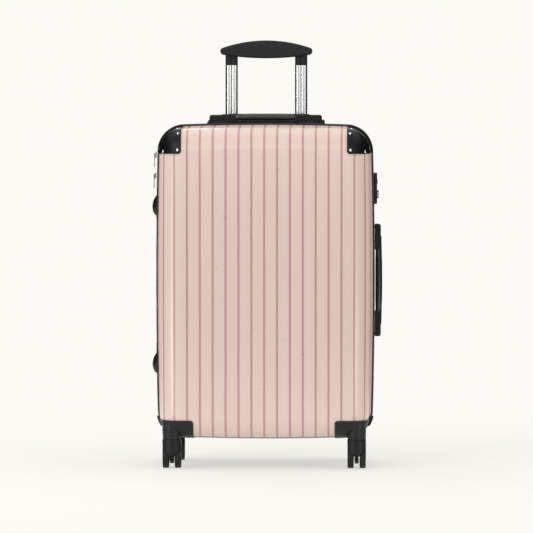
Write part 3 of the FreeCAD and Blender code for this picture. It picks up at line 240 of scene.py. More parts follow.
def pink_shell(case, settings):
    """Printed polycarbonate: pinstripes by distance along the surface, round the side rounding and the bowed wall,
    painted light that makes the print paler towards the top and the bottom, and painted shade that turns the underside
    black."""
    made = Finish("shell_blush", settings.shell, 0.3, Specular_IOR_Level=0.5, Coat_Weight=0.35, Coat_Roughness=0.16)
    x, y, z = made.axes()
    lift = made.math("SUBTRACT", z, case.centre_height)
    bow = made.math("DIVIDE", made.math("MULTIPLY", lift, lift), 2 * case.side_bow)
    flat = made.math("SUBTRACT", case.half_width - case.edge, bow)
    across = made.math("ABSOLUTE", x)
    beyond = made.math("MAXIMUM", made.math("SUBTRACT", across, flat), 0.0)
    back = made.math("ADD", y, case.depth - case.edge)
    ahead = made.math("MAXIMUM", made.math("MULTIPLY", back, -1.0), 0.0)
    turn = made.math("ARCTAN2", beyond, ahead)
    behind = made.math("MULTIPLY", made.math("MAXIMUM", back, 0.0), made.math("GREATER_THAN", beyond, 0.001))
    along = made.math("ADD", made.math("MINIMUM", across, flat), made.math("MULTIPLY", turn, case.edge))
    along = made.math("ADD", along, behind)
    signed = made.math("ADD", made.math("MULTIPLY", along, made.math("SIGN", x)), -settings.stripe_offset)
    turns = made.math("ADD", made.math("DIVIDE", signed, settings.stripe_pitch), 0.5)
    off = made.math("ABSOLUTE", made.math("SUBTRACT", made.math("FRACT", turns), 0.5))
    gap = made.math("MULTIPLY", off, settings.stripe_pitch)
    half, soft = settings.stripe_width / 2, 0.35 * MM
    stripe = made.remap(gap, 1.0, 0.0, half - soft, half + soft)
    band = made.math("PINGPONG", made.math("MULTIPLY", turns, 2.0), 0.5)
    tone = made.remap(band, 0.0, 0.9, 0.18, 0.5)
    ink = made.noise(1400.0, 2.0, (1.0, 1.0, 0.05))
    pale = made.mix(tone, settings.shell, settings.band)
    printed = made.mix(stripe, pale, made.shade(settings.stripe, ink, 0.93, 1.06))
    clouds = made.noise(5.0, 2.0)
    # Painted light: the print is made up to about a seventh paler towards the top and the bottom, standing in for the
    # light on the shell's rounded ends.
    ends = made.math("DIVIDE", made.math("ABSOLUTE", lift), case.half_height)
    painted_light_print = made.shade(printed, made.math("POWER", ends, 2.5), 0.98, 1.12)
    # Painted shade: the lowest 2.3 to 3 mm of the front shell and all of its underside are painted black, standing in
    # for the shade under the bottom edge.
    hem = made.math("DIVIDE", made.math("MULTIPLY", x, x), -2 * case.end_bow)
    hem = made.math("ADD", made.math("ADD", hem, lift), case.half_height)
    painted_shade_under = made.remap(hem, 1.0, 0.0, 2.3 * MM, 3.0 * MM)
    made.put("Base Color", made.mix(painted_shade_under, made.shade(painted_light_print, clouds, 0.985, 1.02), settings.black))
    wear = made.noise(60.0, 4.0)
    made.put("Roughness", made.remap(wear, 0.25, 0.42, 0.25, 0.75))
    made.bump(made.noise(7.0, 2.0), 0.05, 0.004)
    made.bump(made.noise(700.0, 2.0), 0.05, 0.0002)
    return made.material


def metal(name, base, roughness, stretch, scale=900.0, relief=0.12):
    """Metal brushed or drawn along one axis."""
    made = Finish(name, base, roughness, 1.0)
    lines = made.noise(scale, 4.0, stretch)
    smear = made.noise(26.0, 4.0)
    made.put("Roughness", made.remap(made.math("ADD", lines, smear), roughness * 0.7, roughness * 1.5, 0.6, 1.4))
    made.put("Base Color", made.shade(base, smear, 0.9, 1.05))
    made.bump(lines, relief, 0.0001)
    return made.material


def woven(name, base, thread, relief=0.6, sheen=0.15):
    """Plain weave: warp and weft ridges at the thread's pitch, seen the same on every wall."""
    made = Finish(name, base, 0.85, Sheen_Weight=sheen, Sheen_Roughness=0.5)
    x, y, z = made.axes()
    rate = FULL_TURN / thread
    warp = made.math("SINE", made.math("MULTIPLY", made.math("ADD", x, y), rate))
    weft = made.math("SINE", made.math("MULTIPLY", made.math("SUBTRACT", z, made.math("MULTIPLY", y, 0.5)), rate))
    cross = made.math("MULTIPLY", warp, weft)
    fuzz = made.noise(0.6 / thread, 3.0)
    height = made.remap(made.math("ADD", cross, fuzz), 0.0, 1.0, -1.0, 2.0)
    # Painted shade: the colour follows the weave's height, darker in its hollows and lighter on its ridges; the slow
    # noise on top is tone that differs at random.
    made.put("Base Color", made.shade(made.shade(base, height, 0.72, 1.22), made.noise(12.0, 3.0), 0.88, 1.1))
    made.bump(made.noise(60.0, 2.0), 0.15, 0.002)
    made.bump(height, relief, thread * 0.35)
    return made.material


def webbing(name, base):
    """Ribbed polyester webbing: close ribs across the strap, in both strap directions, and a soft sheen."""
    made = Finish(name, base, 0.6, Sheen_Weight=0.25, Sheen_Roughness=0.4)
    x, _, z = made.axes()
    rate = FULL_TURN / RIB_PITCH
    rising = made.math("SINE", made.math("MULTIPLY", made.math("ADD", x, z), rate))
    falling = made.math("SINE", made.math("MULTIPLY", made.math("SUBTRACT", x, z), rate))
    ribs = made.remap(made.math("MULTIPLY", rising, falling), 0.0, 1.0, -1.0, 1.0)
    # Painted shade: the colour follows the ribs' height, darker in the grooves between them.
    made.put("Base Color", made.shade(base, ribs, 0.75, 1.2))
    made.bump(ribs, 0.7, 0.0004)
    made.bump(made.noise(900.0, 2.0), 0.2, 0.0002)
    return made.material


def rubber(name, base):
    """Dusty tyre rubber with fine ribs round the tread."""
    made = Finish(name, base, 0.62, Specular_IOR_Level=0.25)
    x, _, _ = made.axes()
    dust = made.noise(110.0, 4.0)
    made.put("Base Color", made.shade(base, dust, 0.75, 1.5))
    made.put("Roughness", made.remap(dust, 0.5, 0.75, 0.2, 0.8))
    ribs = made.math("SINE", made.math("MULTIPLY", x, FULL_TURN / RIB_PITCH))
    made.bump(ribs, 0.10, 0.0002)
    made.bump(made.noise(1500.0, 2.0), 0.25, 0.0002)
    return made.material


def paint(*names, material):
    """Gives CAD nodes a finish in place of their plain one."""
    for name in names:
        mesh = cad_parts[name].data
        mesh.materials.clear()
        mesh.materials.append(material)


def add_piece(name, points, faces, body, slot, material, replaces=(), smooth=True):
    """A mesh in place, riding on a body."""
    mesh = bpy.data.meshes.new(name)
    mesh.from_pydata([Vector(p) for p in points], [], faces)
    mesh.validate()
    mesh.materials.append(material)
    made = bpy.data.objects.new(name, mesh)
    bpy.context.scene.collection.objects.link(made)
    tidy = bmesh.new()
    tidy.from_mesh(mesh)
    bmesh.ops.recalc_face_normals(tidy, faces=tidy.faces)
    tidy.to_mesh(mesh)
    tidy.free()
    if smooth:
        mesh.shade_smooth()
        mesh.set_sharp_from_angle(angle=math.radians(42))
    if body:
        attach(made, body)
    if replaces:
        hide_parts(*replaces)
    return made


# ---------------------------------------------------------------- outline of the case
def outline(case, grow, counts=(48, 14, 32)):
    """The outline seen from the front, `grow` outside the wall: (x, z, normal x, normal z), all the way round."""
    half_width, half_height = case.half_width + grow, case.half_height + grow
    corner, side, end = case.corner + grow, case.side_bow + grow, case.end_bow + grow
    x, z = half_width - corner, half_height - corner
    for _ in range(30):
        x = half_width - side + math.sqrt((side - corner) ** 2 - z * z)
        z = half_height - end + math.sqrt((end - corner) ** 2 - x * x)
    low = math.atan2(z, x - (half_width - side))
    high = math.atan2(z - (half_height - end), x)
    quarter = math.pi / 2
    arcs = [
        ((half_width - side, 0), side, -low, low, counts[0]), ((x, z), corner, low, high, counts[1]),
        ((0, half_height - end), end, high, 2 * quarter - high, counts[2]),
        ((-x, z), corner, 2 * quarter - high, 2 * quarter - low, counts[1]),
        ((side - half_width, 0), side, 2 * quarter - low, 2 * quarter + low, counts[0]),
        ((-x, -z), corner, 2 * quarter + low, 2 * quarter + high, counts[1]),
        ((0, end - half_height), end, 2 * quarter + high, 4 * quarter - high, counts[2]),
        ((x, -z), corner, 4 * quarter - high, 4 * quarter - low, counts[1]),
    ]
    points = []
    for (cx, cz), radius, start, stop, count in arcs:
        for k in range(count):
            turn = start + (stop - start) * k / count
            nx, nz = math.cos(turn), math.sin(turn)
            points.append((cx + radius * nx, cz + radius * nz + case.centre_height, nx, nz))
    return points


def paced(case, grow, pitch):
    """The outline again, at even steps close to `pitch`."""
    dense = outline(case, grow, (400, 60, 260))
    dense.append(dense[0])
    reach = [0.0]
    for a, b in zip(dense, dense[1:]):
        reach.append(reach[-1] + math.hypot(b[0] - a[0], b[1] - a[1]))
    count = round(reach[-1] / pitch)
    steps, k = [], 0
    for n in range(count):
        want = reach[-1] * n / count
        while reach[k + 1] < want:
            k += 1
        t = (want - reach[k]) / (reach[k + 1] - reach[k])
        steps.append(tuple(a + (b - a) * t for a, b in zip(dense[k], dense[k + 1])))
    return steps


def band_round_case(case, profile, counts=(48, 14, 32)):
    """A closed band round the case from its section, given as (grow, y) corners."""
    rings = [outline(case, grow, counts) for grow, _ in profile]
    around, across = len(rings[0]), len(profile)
    points = [(ring[k][0], y, ring[k][1]) for ring, (_, y) in zip(rings, profile) for k in range(around)]
    faces = []
    for a in range(across):
        b = (a + 1) % across
        for k in range(around):
            j = (k + 1) % around
            faces.append((a * around + k, a * around + j, b * around + j, b * around + k))
    return points, faces


def bars_along(steps, inner, outer, y_low, y_high, width):
    """Small blocks with pinched tops set along the outline, as zip teeth or stitches."""
    points, faces = [], []
    for x, z, nx, nz in steps:
        tx, tz = -nz, nx
        first = len(points)
        for lift, pinch in ((inner, 1.0), (outer, 0.62)):
            for y, side in ((y_low, -1), (y_low, 1), (y_high, 1), (y_high, -1)):
                middle = (y_low + y_high) / 2
                reach = side * width / 2 * pinch
                points.append((
                    x + nx * lift + tx * reach, middle + (y - middle) * (0.5 + pinch / 2), z + nz * lift + tz * reach
                ))
        for face in ((0, 1, 2, 3), (4, 5, 6, 7), (0, 1, 5, 4), (1, 2, 6, 5), (2, 3, 7, 6), (3, 0, 4, 7)):
            faces.append(tuple(first + k for k in face))
    return points, faces


def joined(*parts):
    """Several (points, faces) lists as one."""
    points, faces = [], []
    for more, shapes in parts:
        first = len(points)
        points += more
        faces += [tuple(first + k for k in face) for face in shapes]
    return points, faces


def grid_faces(rows, columns, closed=False):
    """Quads of a grid of rows by columns."""
    wrap = columns if closed else columns - 1
    return [
        (r * columns + c, r * columns + (c + 1) % columns, (r + 1) * columns + (c + 1) % columns, (r + 1) * columns + c)
        for r in range(rows - 1) for c in range(wrap)
    ]


def tube_along(path, radius, sides=8, flat=1.0, closed=False):
    """A round cord along a path of points; flat squashes it across its path."""
    count = len(path)
    points = []
    for k, here in enumerate(path):
        before = path[k - 1] if k or closed else path[0]
        after = path[(k + 1) % count] if k < count - 1 or closed else path[-1]
        ahead = (Vector(after) - Vector(before)).normalized()
        across = ahead.cross(Vector((0, 1, 0)))
        across = across.normalized() if across.length > 1e-6 else Vector((1, 0, 0))
        up = across.cross(ahead)
        for n in range(sides):
            turn = FULL_TURN * n / sides
            points.append(Vector(here) + across * (radius * flat * math.cos(turn)) + up * (radius * math.sin(turn)))
    faces = grid_faces(count, sides, True)
    if closed:
        last = (count - 1) * sides
        faces += [(last + n, last + (n + 1) % sides, (n + 1) % sides, n) for n in range(sides)]
    else:
        faces += [tuple(range(sides)), tuple(range((count - 1) * sides, count * sides))]
    return points, faces


# ---------------------------------------------------------------- operators
class SuitcaseOperator(bpy.types.Operator):
    """Shared by all the suitcase's operators"""
    bl_options = {"REGISTER", "UNDO"}

    def execute(self, context):
        self.build(context.scene)
        return {"FINISHED"}


class SUITCASE_OT_shells(SuitcaseOperator):
    """Pinstriped front shell and black rear shell"""
    bl_idname = "suitcase.shells"
    bl_label = "Shells"

    def build(self, scene):
        plastics = black_plastics(scene.suitcase_finish)
        paint("front_shell", material=pink_shell(scene.suitcase_case, scene.suitcase_finish))
        paint("rear_shell", material=plastics["shell"])
        paint("front_corner_guards", "rear_corner_guards", material=plastics["guard"])
        trim = ["front_side_feet", "rear_side_feet"]
        trim += [f"{half}_wheel_cover_{side}" for half in ("front", "rear") for side in ("left", "right")]
        trim += ["trolley_bezel", "trolley_tube_base", "top_handle_brackets", "side_handle_brackets", "lock_body"]
        paint(*trim, "strap_buckle", material=plastics["trim"])
        paint("top_handle_grip", "side_handle_grip", "trolley_grip", "trolley_grip_sleeves",
              material=plastics["grip"])
        paint("trolley_button", material=plastics["button"])
        casters = [f"{half}_fork_{side}" for half in ("front", "rear") for side in ("left", "right")]
        paint(*casters, material=plastics["caster"])


class SUITCASE_OT_metals(SuitcaseOperator):
    """Trolley tubes, rivets, zip sliders and other metal"""
    bl_idname = "suitcase.metals"
    bl_label = "Metals"

    def build(self, scene):
        bright = metal("chrome", (0.82, 0.83, 0.85), 0.16, (1.0, 1.0, 1.0), 300.0)
        drawn = metal("drawn_aluminium", (0.80, 0.81, 0.83), 0.15, (1.0, 1.0, 0.01), 2500.0, 0.02)
        steel = metal("brushed_steel", (0.45, 0.45, 0.46), 0.3, (1.0, 1.0, 0.05), 1200.0)
        dark = metal("dial_metal", (0.30, 0.30, 0.32), 0.3, (1.0, 1.0, 1.0), 900.0)
        paint("trolley_inner_tubes", "trolley_middle_tubes", "trolley_fixed_tubes", material=drawn)
        paint("front_rivets", "rear_rivets", "lock_release_latch", material=bright)
        nickel = metal("zip_nickel", (0.52, 0.53, 0.55), 0.2, (1.0, 1.0, 1.0), 500.0)
        paint("zip_slider_upper", "zip_slider_lower", "zip_pull_upper", "zip_pull_lower", material=nickel)
        paint("lock_dial_1", "lock_dial_2", "lock_dial_3", material=dark)
        axles = [f"{half}_axle_{side}" for half in ("front", "rear") for side in ("left", "right")]
        paint("top_handle_strip", "side_handle_strip", *axles, material=steel)


class SUITCASE_OT_wheels(SuitcaseOperator):
    """Rubber tread and moulded hub of each wheel"""
    bl_idname = "suitcase.wheels"
    bl_label = "Wheels"

    def build(self, scene):
        tread = rubber("tyre_rubber", (0.011, 0.011, 0.0115))
        hub = satin_plastic("hub_plastic", (0.022, 0.022, 0.023), 0.4, 1100.0, 0.15, 0.0, 0.3).material
        for half in ("front", "rear"):
            for side in ("left", "right"):
                for letter in "ab":
                    name = f"{half}_wheel_{side}_{letter}"
                    paint(name, material=tread)
                    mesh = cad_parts[name].data
                    mesh.materials.append(hub)
                    low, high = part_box(name)
                    middle = (low + high) / 2
                    for face in mesh.polygons:
                        reach = face.center - middle
                        face.material_index = int(math.hypot(reach.y, reach.z) < HUB_RADIUS)


class SUITCASE_OT_seam(SuitcaseOperator):
    """Seam tapes with their stitches, interlocking zip teeth and the folded cloth hinge"""
    bl_idname = "suitcase.seam"
    bl_label = "Seam and zip"

    def build(self, scene):
        case = scene.suitcase_case
        cloth = woven("seam_tape", (0.022, 0.022, 0.024), 0.0009, 0.8)
        thread = woven("seam_thread", (0.05, 0.05, 0.052), 0.0004, 0.3)
        nylon = satin_plastic("zip_nylon", (0.02, 0.02, 0.021), 0.35, 2500.0, 0.08).material
        for half, body, sign in (("front", "lid", -1), ("rear", "case", 1)):
            section = [
                (-1.6, 1.8), (5.9, 1.75), (6.4, 2.1), (6.5, 3.4), (6.5, 5.2), (6.3, 6.5), (5.6, 6.9), (-1.6, 6.9),
            ]
            tape = band_round_case(case, [(grow * MM, sign * y * MM) for grow, y in section])
            add_piece(f"{half}_tape_cloth", *tape, body, "seam_cloth", cloth, [f"{half}_seam_tape"])
            rows = []
            for y in (2.9, 5.4):
                low, high = sorted((sign * (y - 0.25) * MM, sign * (y + 0.25) * MM))
                rows.append(bars_along(paced(case, 0.0, 3.0 * MM), 6.4 * MM, 6.75 * MM, low, high, 2.1 * MM))
            add_piece(f"{half}_tape_stitches", *joined(*rows), body, "seam_cloth", thread, smooth=False)
            steps = paced(case, 0.0, 2.2 * MM)
            if sign > 0:
                turned = steps[1:] + steps[:1]
                steps = [tuple((a + b) / 2 for a, b in zip(p, q)) for p, q in zip(steps, turned)]
            hinge = (case.centre_height - HINGE_REACH, case.centre_height + HINGE_REACH)
            steps = [p for p in steps if not (p[0] < -0.15 and hinge[0] < p[1] < hinge[1])]
            low, high = sorted((-sign * 0.35 * MM, sign * 1.6 * MM))
            teeth = bars_along(steps, 5.6 * MM, 8.1 * MM, low, high, 1.25 * MM)
            root = [(5.0, 0.3), (6.0, 0.3), (6.3, 1.0), (6.0, 1.75), (5.0, 1.75)]
            base = band_round_case(case, [(grow * MM, sign * y * MM) for grow, y in root])
            add_piece(f"{half}_zip_teeth", *joined(base, teeth), body, "zip_coil", nylon, [f"{half}_zip_coil"])
        self.hinge(case, cloth)

    def hinge(self, case, cloth):
        """A narrow cloth gusset round the hinge line."""
        low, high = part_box("fabric_hinge")
        rows, columns = 40, 15
        points = []
        for depth in (0.0, 0.9 * MM):
            for r in range(rows):
                z = low.z + (high.z - low.z) * r / (rows - 1)
                wall = case.half_width - (z - case.centre_height) ** 2 / (2 * case.side_bow)
                for c in range(columns):
                    t = c / (columns - 1)
                    out = 6.4 * MM + 1.0 * MM * math.sin(math.pi * t) + 0.12 * MM * math.sin(9 * z / 0.01 + 3 * t)
                    points.append((-wall - out + depth, (1.9 - 3.8 * t) * MM, z))
        count = rows * columns
        front = grid_faces(rows, columns)
        back = [tuple(count + k for k in face) for face in front]
        ring = list(range(columns)) + [r * columns + columns - 1 for r in range(1, rows)]
        ring += [(rows - 1) * columns + c for c in range(columns - 2, -1, -1)]
        ring += [r * columns for r in range(rows - 2, 0, -1)]
        edge = [(a, b, count + b, count + a) for a, b in zip(ring, ring[1:] + ring[:1])]
        gusset = add_piece("hinge_gusset", points, front + back + edge, None, "seam_cloth", cloth, ["fabric_hinge"])
        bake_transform(gusset)


class SUITCASE_OT_lining(SuitcaseOperator):
    """Creased cloth trays with a bound rim, caps over the wheel housings and a gathered pocket in the lid"""
    bl_idname = "suitcase.lining"
    bl_label = "Linings"

    COUNTS = (70, 14, 46)

    def build(self, scene):
        case, finish = scene.suitcase_case, scene.suitcase_finish
        cloth = woven("lining_twill", finish.lining, 0.0008, 0.5)
        trim = woven("lining_binding", (0.03, 0.03, 0.033), 0.0006, 0.7)
        self.tray(case, cloth, "front", "lid", -1, 39.0, 129.0)
        self.tray(case, cloth, "rear", "case", 1, 3.0, 79.3)
        for half, body, sign in (("front", "lid", -1), ("rear", "case", 1)):
            path = [(x, sign * 9.2 * MM, z) for x, z, _, _ in outline(case, -3.6 * MM, self.COUNTS)]
            made = tube_along(path, 1.5 * MM, 8, 0.7, True)
            add_piece(f"{half}_lining_binding", *made, body, "lining_cloth", trim)
            steps = paced(case, -4.75 * MM, 5.0 * MM)
            low, high = sorted((sign * 11.6 * MM, sign * 12.2 * MM))
            rows = bars_along(steps, -0.3 * MM, 0.35 * MM, low, high, 3.2 * MM)
            add_piece(f"{half}_lining_stitches", *rows, body, "lining_cloth", trim, smooth=False)
        self.caps(case, cloth)
        self.pocket(cloth, trim)

    def tray(self, case, cloth, half, body, sign, curve, floor):
        levels = [(-3.2, 9.4 + (floor - curve - 9.4) * k / 14) for k in range(15)]
        for k in range(1, 9):
            turn = math.pi / 2 * k / 8
            levels.append((-3.2 - curve * (1 - math.cos(turn)), floor - curve + curve * math.sin(turn)))
        rings = [(outline(case, grow * MM, self.COUNTS), y) for grow, y in levels]
        points, around = [], len(rings[0][0])
        for ring, y in rings:
            for x, z, nx, nz in ring:
                crease = max(0.0, noise.noise(Vector((x * 9, y * 0.03, z * 9))))
                crease = (crease + 0.5 * abs(noise.noise(Vector((x * 40, y * 0.05, z * 40))))) * 2.2 * MM
                crease *= min(1.0, max(0.0, (y - 12) / 20))
                points.append((x - nx * crease, sign * (y * MM), z - nz * crease))
        last, y = rings[-1]
        rows = len(rings)
        for k in range(1, 22):
            share = 1 - k / 22
            for x, z, _, _ in last:
                px, pz = x * share, case.centre_height + (z - case.centre_height) * share
                lift = 1.6 * MM * abs(noise.noise(Vector((px * 7, 3.1, pz * 7)))) * min(1.0, k / 4)
                lift += 0.9 * MM * abs(noise.noise(Vector((px * 30, 1.7, pz * 22)))) * min(1.0, k / 4)
                points.append((px, sign * (y * MM - lift), pz))
            rows += 1
        faces = grid_faces(rows, around, True) + [tuple(range((rows - 1) * around, rows * around))]
        add_piece(f"{half}_lining_tray", points, faces, body, "lining_cloth", cloth, [f"{half}_lining"])

    def caps(self, case, cloth):
        """Cloth drawn over the two wheel housings inside the lid, kept inside the shell."""
        levels = [
            (21.4, 62), (21.4, 74), (21.4, 86), (21.0, 92), (19.4, 95), (16.5, 96.2), (9.0, 96.4), (2.0, 96.4),
        ]
        for side in ("left", "right"):
            low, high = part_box(f"front_axle_{side}")
            axis_x, axis_y = (low.x + high.x) / 2, (low.y + high.y) / 2 - 12 * MM
            points = []
            for radius, z in levels:
                for n in range(48):
                    turn = FULL_TURN * n / 48
                    across, ahead = radius * MM * math.cos(turn), radius * MM * math.sin(turn)
                    points.append(self.kept_inside(case, Vector((axis_x + across, axis_y + ahead, z * MM))))
            faces = grid_faces(len(levels), 48, True) + [tuple(range(48 * (len(levels) - 1), 48 * len(levels)))]
            add_piece(f"lid_cap_{side}", points, faces, "lid", "lining_cloth", cloth)

    def kept_inside(self, case, point):
        """The point, moved in if it lies outside the lining near a lower corner."""
        centre_x, centre_z = 0.160, case.centre_height - 0.2571
        across, down = abs(point.x) - centre_x, centre_z - point.z
        reach = math.hypot(max(across, 0.0), max(down, 0.0))
        round_in = case.edge - 3.0 * MM
        beyond = min(max(-point.y - (case.depth - case.edge), 0.0), round_in * 0.999)
        most = case.corner - case.edge + math.sqrt(round_in**2 - beyond**2)
        if reach <= most:
            return point
        across, down = (across * most / reach if across > 0 else across), (down * most / reach if down > 0 else down)
        return Vector((math.copysign(centre_x + across, point.x), point.y, centre_z - down))

    def pocket(self, cloth, trim):
        """A full-width pocket on the lid's floor, gathered on an elastic along its top edge."""
        rows, columns = 26, 71
        wide, foot, top = 0.150, 0.150, 0.385
        points = []
        for r in range(rows):
            t = r / (rows - 1)
            for c in range(columns):
                u = 2 * c / (columns - 1) - 1
                edge = (1 - u**8) * math.sin(math.pi * min(1.0, 0.08 + 0.92 * t)) ** 0.5 if t < 0.999 else 1 - u**8
                ripple = math.sin(u * 75 + 1.3 * math.sin(u * 7)) * 1.1 * MM * t**3
                slack = noise.noise(Vector((u * 3, t * 3, 5.0))) * 1.2 * MM * (1 - abs(u))
                out = 2.0 * MM + (7.0 * MM * (0.4 + 0.6 * t) * edge + ripple + slack) * min(1.0, t * 8)
                sag = -7 * MM * (1 - u * u) * t
                points.append((u * wide, LID_FLOOR + max(out, 0.6 * MM) - 1.2 * MM, foot + (top - foot) * t + sag))
        cloth_piece = add_piece("lid_pocket", points, grid_faces(rows, columns), "lid", "lining_cloth", cloth)
        hem = points[(rows - 1) * columns:]
        elastic = add_piece("lid_pocket_elastic", *tube_along(hem, 2.6 * MM, 8, 0.4), "lid", "lining_cloth", trim)
        sides = []
        for c in (0, columns - 1):
            sides.append(tube_along([points[r * columns + c] for r in range(rows)], 1.3 * MM, 6, 0.8))
        sides.append(tube_along(points[:columns], 1.3 * MM, 6, 0.8))
        binding = add_piece("lid_pocket_binding", *joined(*sides), "lid", "lining_cloth", trim)


class SUITCASE_OT_straps(SuitcaseOperator):
    """Four packing straps of ribbed webbing with sewn ends, and their buckle"""
    bl_idname = "suitcase.straps"
    bl_label = "Packing straps"

    def build(self, scene):
        case = scene.suitcase_case
        web = webbing("strap_webbing", (0.035, 0.035, 0.038))
        thread = woven("strap_thread", (0.12, 0.12, 0.125), 0.0004, 0.3)
        straps, stitches = [], []
        for sign_x, sign_z in ((1, 1), (-1, 1), (-1, -1), (1, -1)):
            turn = math.radians(40)
            along = Vector((sign_x * math.cos(turn), 0, sign_z * math.sin(turn)))
            across = Vector((-along.z, 0, along.x))
            reach = 0.2585
            straps.append(self.strip(case, along, across, 0.024, reach, 14.6 * MM))
            for start in (0.052, reach - 0.034):
                stitches.append(self.box_x(case, along, across, start, 15.3 * MM if start > 0.1 else 13.9 * MM))
        add_piece("strap_webs", *joined(*straps), "case", "strap_web", web, ["packing_straps"])
        add_piece("strap_stitches", *joined(*stitches), "case", "strap_web", thread)
        self.buckle()

    def strip(self, case, along, across, start, reach, y):
        """One length of webbing with rounded edges and a soft droop."""
        half, thick, steps = 12.3 * MM, 0.6 * MM, 48
        section = [
            (-1, -0.5), (-0.97, -1), (0, -1.05), (0.97, -1), (1, -0.5),
            (1, 0.5), (0.97, 1), (0, 1.05), (-0.97, 1), (-1, 0.5),
        ]
        points = []
        for k in range(steps + 1):
            t = k / steps
            middle = along * (start + (reach - start) * t) + Vector((0, y, case.centre_height))
            middle.y += 0.35 * MM * math.sin(t * 9.0) * math.sin(math.pi * t)
            twist = 0.5 * MM * math.sin(t * 5.0)
            for side, level in section:
                points.append(middle + across * (side * half) + Vector((0, level * thick + side * twist * 0.4, 0)))
        count = len(section)
        faces = grid_faces(steps + 1, count, True)
        return points, faces + [tuple(range(count)), tuple(range(steps * count, (steps + 1) * count))]

    def box_x(self, case, along, across, start, y):
        """The sewn box with a cross in it."""
        half, long = 8.5 * MM, 16 * MM
        corners = [
            (0, -half), (long, -half), (long, half), (0, half), (0, -half), (long, half), (long, -half), (0, half),
        ]
        path = []
        for (a, b), (c, d) in zip(corners, corners[1:]):
            for k in range(6):
                t = k / 6
                place = along * (start + a + (c - a) * t) + across * (b + (d - b) * t)
                path.append(place + Vector((0, y, case.centre_height)))
        return tube_along(path, 0.35 * MM, 5)

    def buckle(self):
        """Side-release buckle: a crowned shell with a waist, and four small ridges near each end."""
        low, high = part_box("strap_buckle")
        middle = (low + high) / 2
        half = (high - low) / 2
        rings = []
        for level, shrink in ((-1.0, 2.2), (-0.75, 0.6), (-0.3, 0.0), (0.3, 0.0), (0.75, 0.6), (1.0, 2.2)):
            ring = []
            for n in range(72):
                turn = FULL_TURN * n / 72
                cx, cz = math.cos(turn), math.sin(turn)
                power = 0.5
                x = math.copysign(abs(cx) ** power, cx) * (half.x - shrink * MM)
                z = math.copysign(abs(cz) ** power, cz) * (half.z - shrink * MM)
                waist = 1 - 0.16 * math.exp(-((x / (0.33 * half.x)) ** 2))
                ring.append((middle.x + x, middle.y + level * half.y, middle.z + z * waist))
            rings.append(ring)
        points = [p for ring in rings for p in ring]
        faces = grid_faces(len(rings), 72, True) + [tuple(range(72)), tuple(range(72 * 5, 72 * 6))]
        parts = [(points, faces)]
        for side in (-1, 1):
            for row in range(4):
                z = middle.z + side * (half.z * 0.55)
                x = middle.x + (row - 1.5) * 2.6 * MM
                path = [(x, low.y, z - 4 * MM), (x, low.y - 0.3 * MM, z), (x, low.y, z + 4 * MM)]
                parts.append(tube_along(path, 0.6 * MM, 6))
        trim = bpy.data.materials["trim_black"]
        add_piece("strap_buckle_shell", *joined(*parts), "case", "black_trim", trim, ["strap_buckle"])


class SUITCASE_OT_handles(SuitcaseOperator):
    """Bulged soft grips round the middle of both carry handles"""
    bl_idname = "suitcase.handles"
    bl_label = "Handle grips"

    def build(self, scene):
        skin = satin_plastic("grip_skin", (0.017, 0.017, 0.0175), 0.16, 1700.0, 0.04, 0.3, 0.5).material
        along_x, across, along_z = (Vector(axis) for axis in ((1, 0, 0), (0, 1, 0), (0, 0, 1)))
        for which, out, along in (("top", along_z, along_x), ("side", along_x, along_z)):
            low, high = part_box(f"{which}_handle_grip")
            middle = (low + high) / 2
            top = max(high.dot(out), low.dot(out))
            half_length = 61 * MM
            rings, around = 41, 40
            points = []
            for r in range(rings):
                t = 2 * r / (rings - 1) - 1
                end = (1 - abs(t) ** 7) ** 0.5 if abs(t) < 1 else 0.0
                crown = top + 0.5 * MM - 0.9 * MM * t * t - (1 - end) * 2.4 * MM
                foot = top - 13.5 * MM + (1 - end) * 1.6 * MM
                wide = 16.4 * MM - 0.7 * MM * t * t - (1 - end) * 2.6 * MM
                centre = (crown + foot) / 2
                for n in range(around):
                    turn = FULL_TURN * n / around
                    c, s = math.cos(turn), math.sin(turn)
                    square = 0.72 if s > 0 else 0.5
                    y = math.copysign(abs(c) ** square, c) * wide
                    lift = math.copysign(abs(s) ** square, s) * (crown - foot) / 2
                    place = along * (middle.dot(along) + t * half_length) + across * (middle.y + y)
                    points.append(place + out * (centre + lift))
            faces = grid_faces(rings, around, True)
            faces += [tuple(range(around)), tuple(range((rings - 1) * around, rings * around))]
            add_piece(f"{which}_handle_sleeve", points, faces, f"{which}_handle", "grip_plastic", skin)


class SUITCASE_OT_lock(SuitcaseOperator):
    """Ten digits round each dial of the combination lock"""
    bl_idname = "suitcase.lock"
    bl_label = "Lock digits"

    def build(self, scene):
        paint_white = satin_plastic("digit_paint", (0.75, 0.75, 0.75), 0.5, 2500.0, 0.05).material
        for number in (1, 2, 3):
            low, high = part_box(f"lock_dial_{number}")
            middle = (low + high) / 2
            radius = (high.x - low.x) / 2
            parts = []
            for digit in range(10):
                curve = bpy.data.curves.new("digit", "FONT")
                curve.body = str(digit)
                curve.size = 3.6 * MM
                curve.extrude = 0.06 * MM
                curve.align_x = "CENTER"
                curve.align_y = "CENTER"
                curve.resolution_u = 3
                text = bpy.data.objects.new("digit", curve)
                mesh = bpy.data.meshes.new_from_object(text)
                turn = math.radians(36 * digit)
                outward = Vector((math.cos(turn), math.sin(turn), 0))
                tangent = Vector((-math.sin(turn), math.cos(turn), 0))
                place = [
                    middle + outward * (math.sqrt(max(radius**2 - v.co.x**2, 0.0)) + v.co.z + 0.02 * MM)
                    + tangent * v.co.x + Vector((0, 0, v.co.y))
                    for v in mesh.vertices
                ]
                parts.append((place, [tuple(p.vertices) for p in mesh.polygons]))
                bpy.data.objects.remove(text)
                bpy.data.curves.remove(curve)
                bpy.data.meshes.remove(mesh)
            add_piece(f"dial_digits_{number}", *joined(*parts), f"lock_dial_{number}", "dial_metal", paint_white,
                      smooth=False)


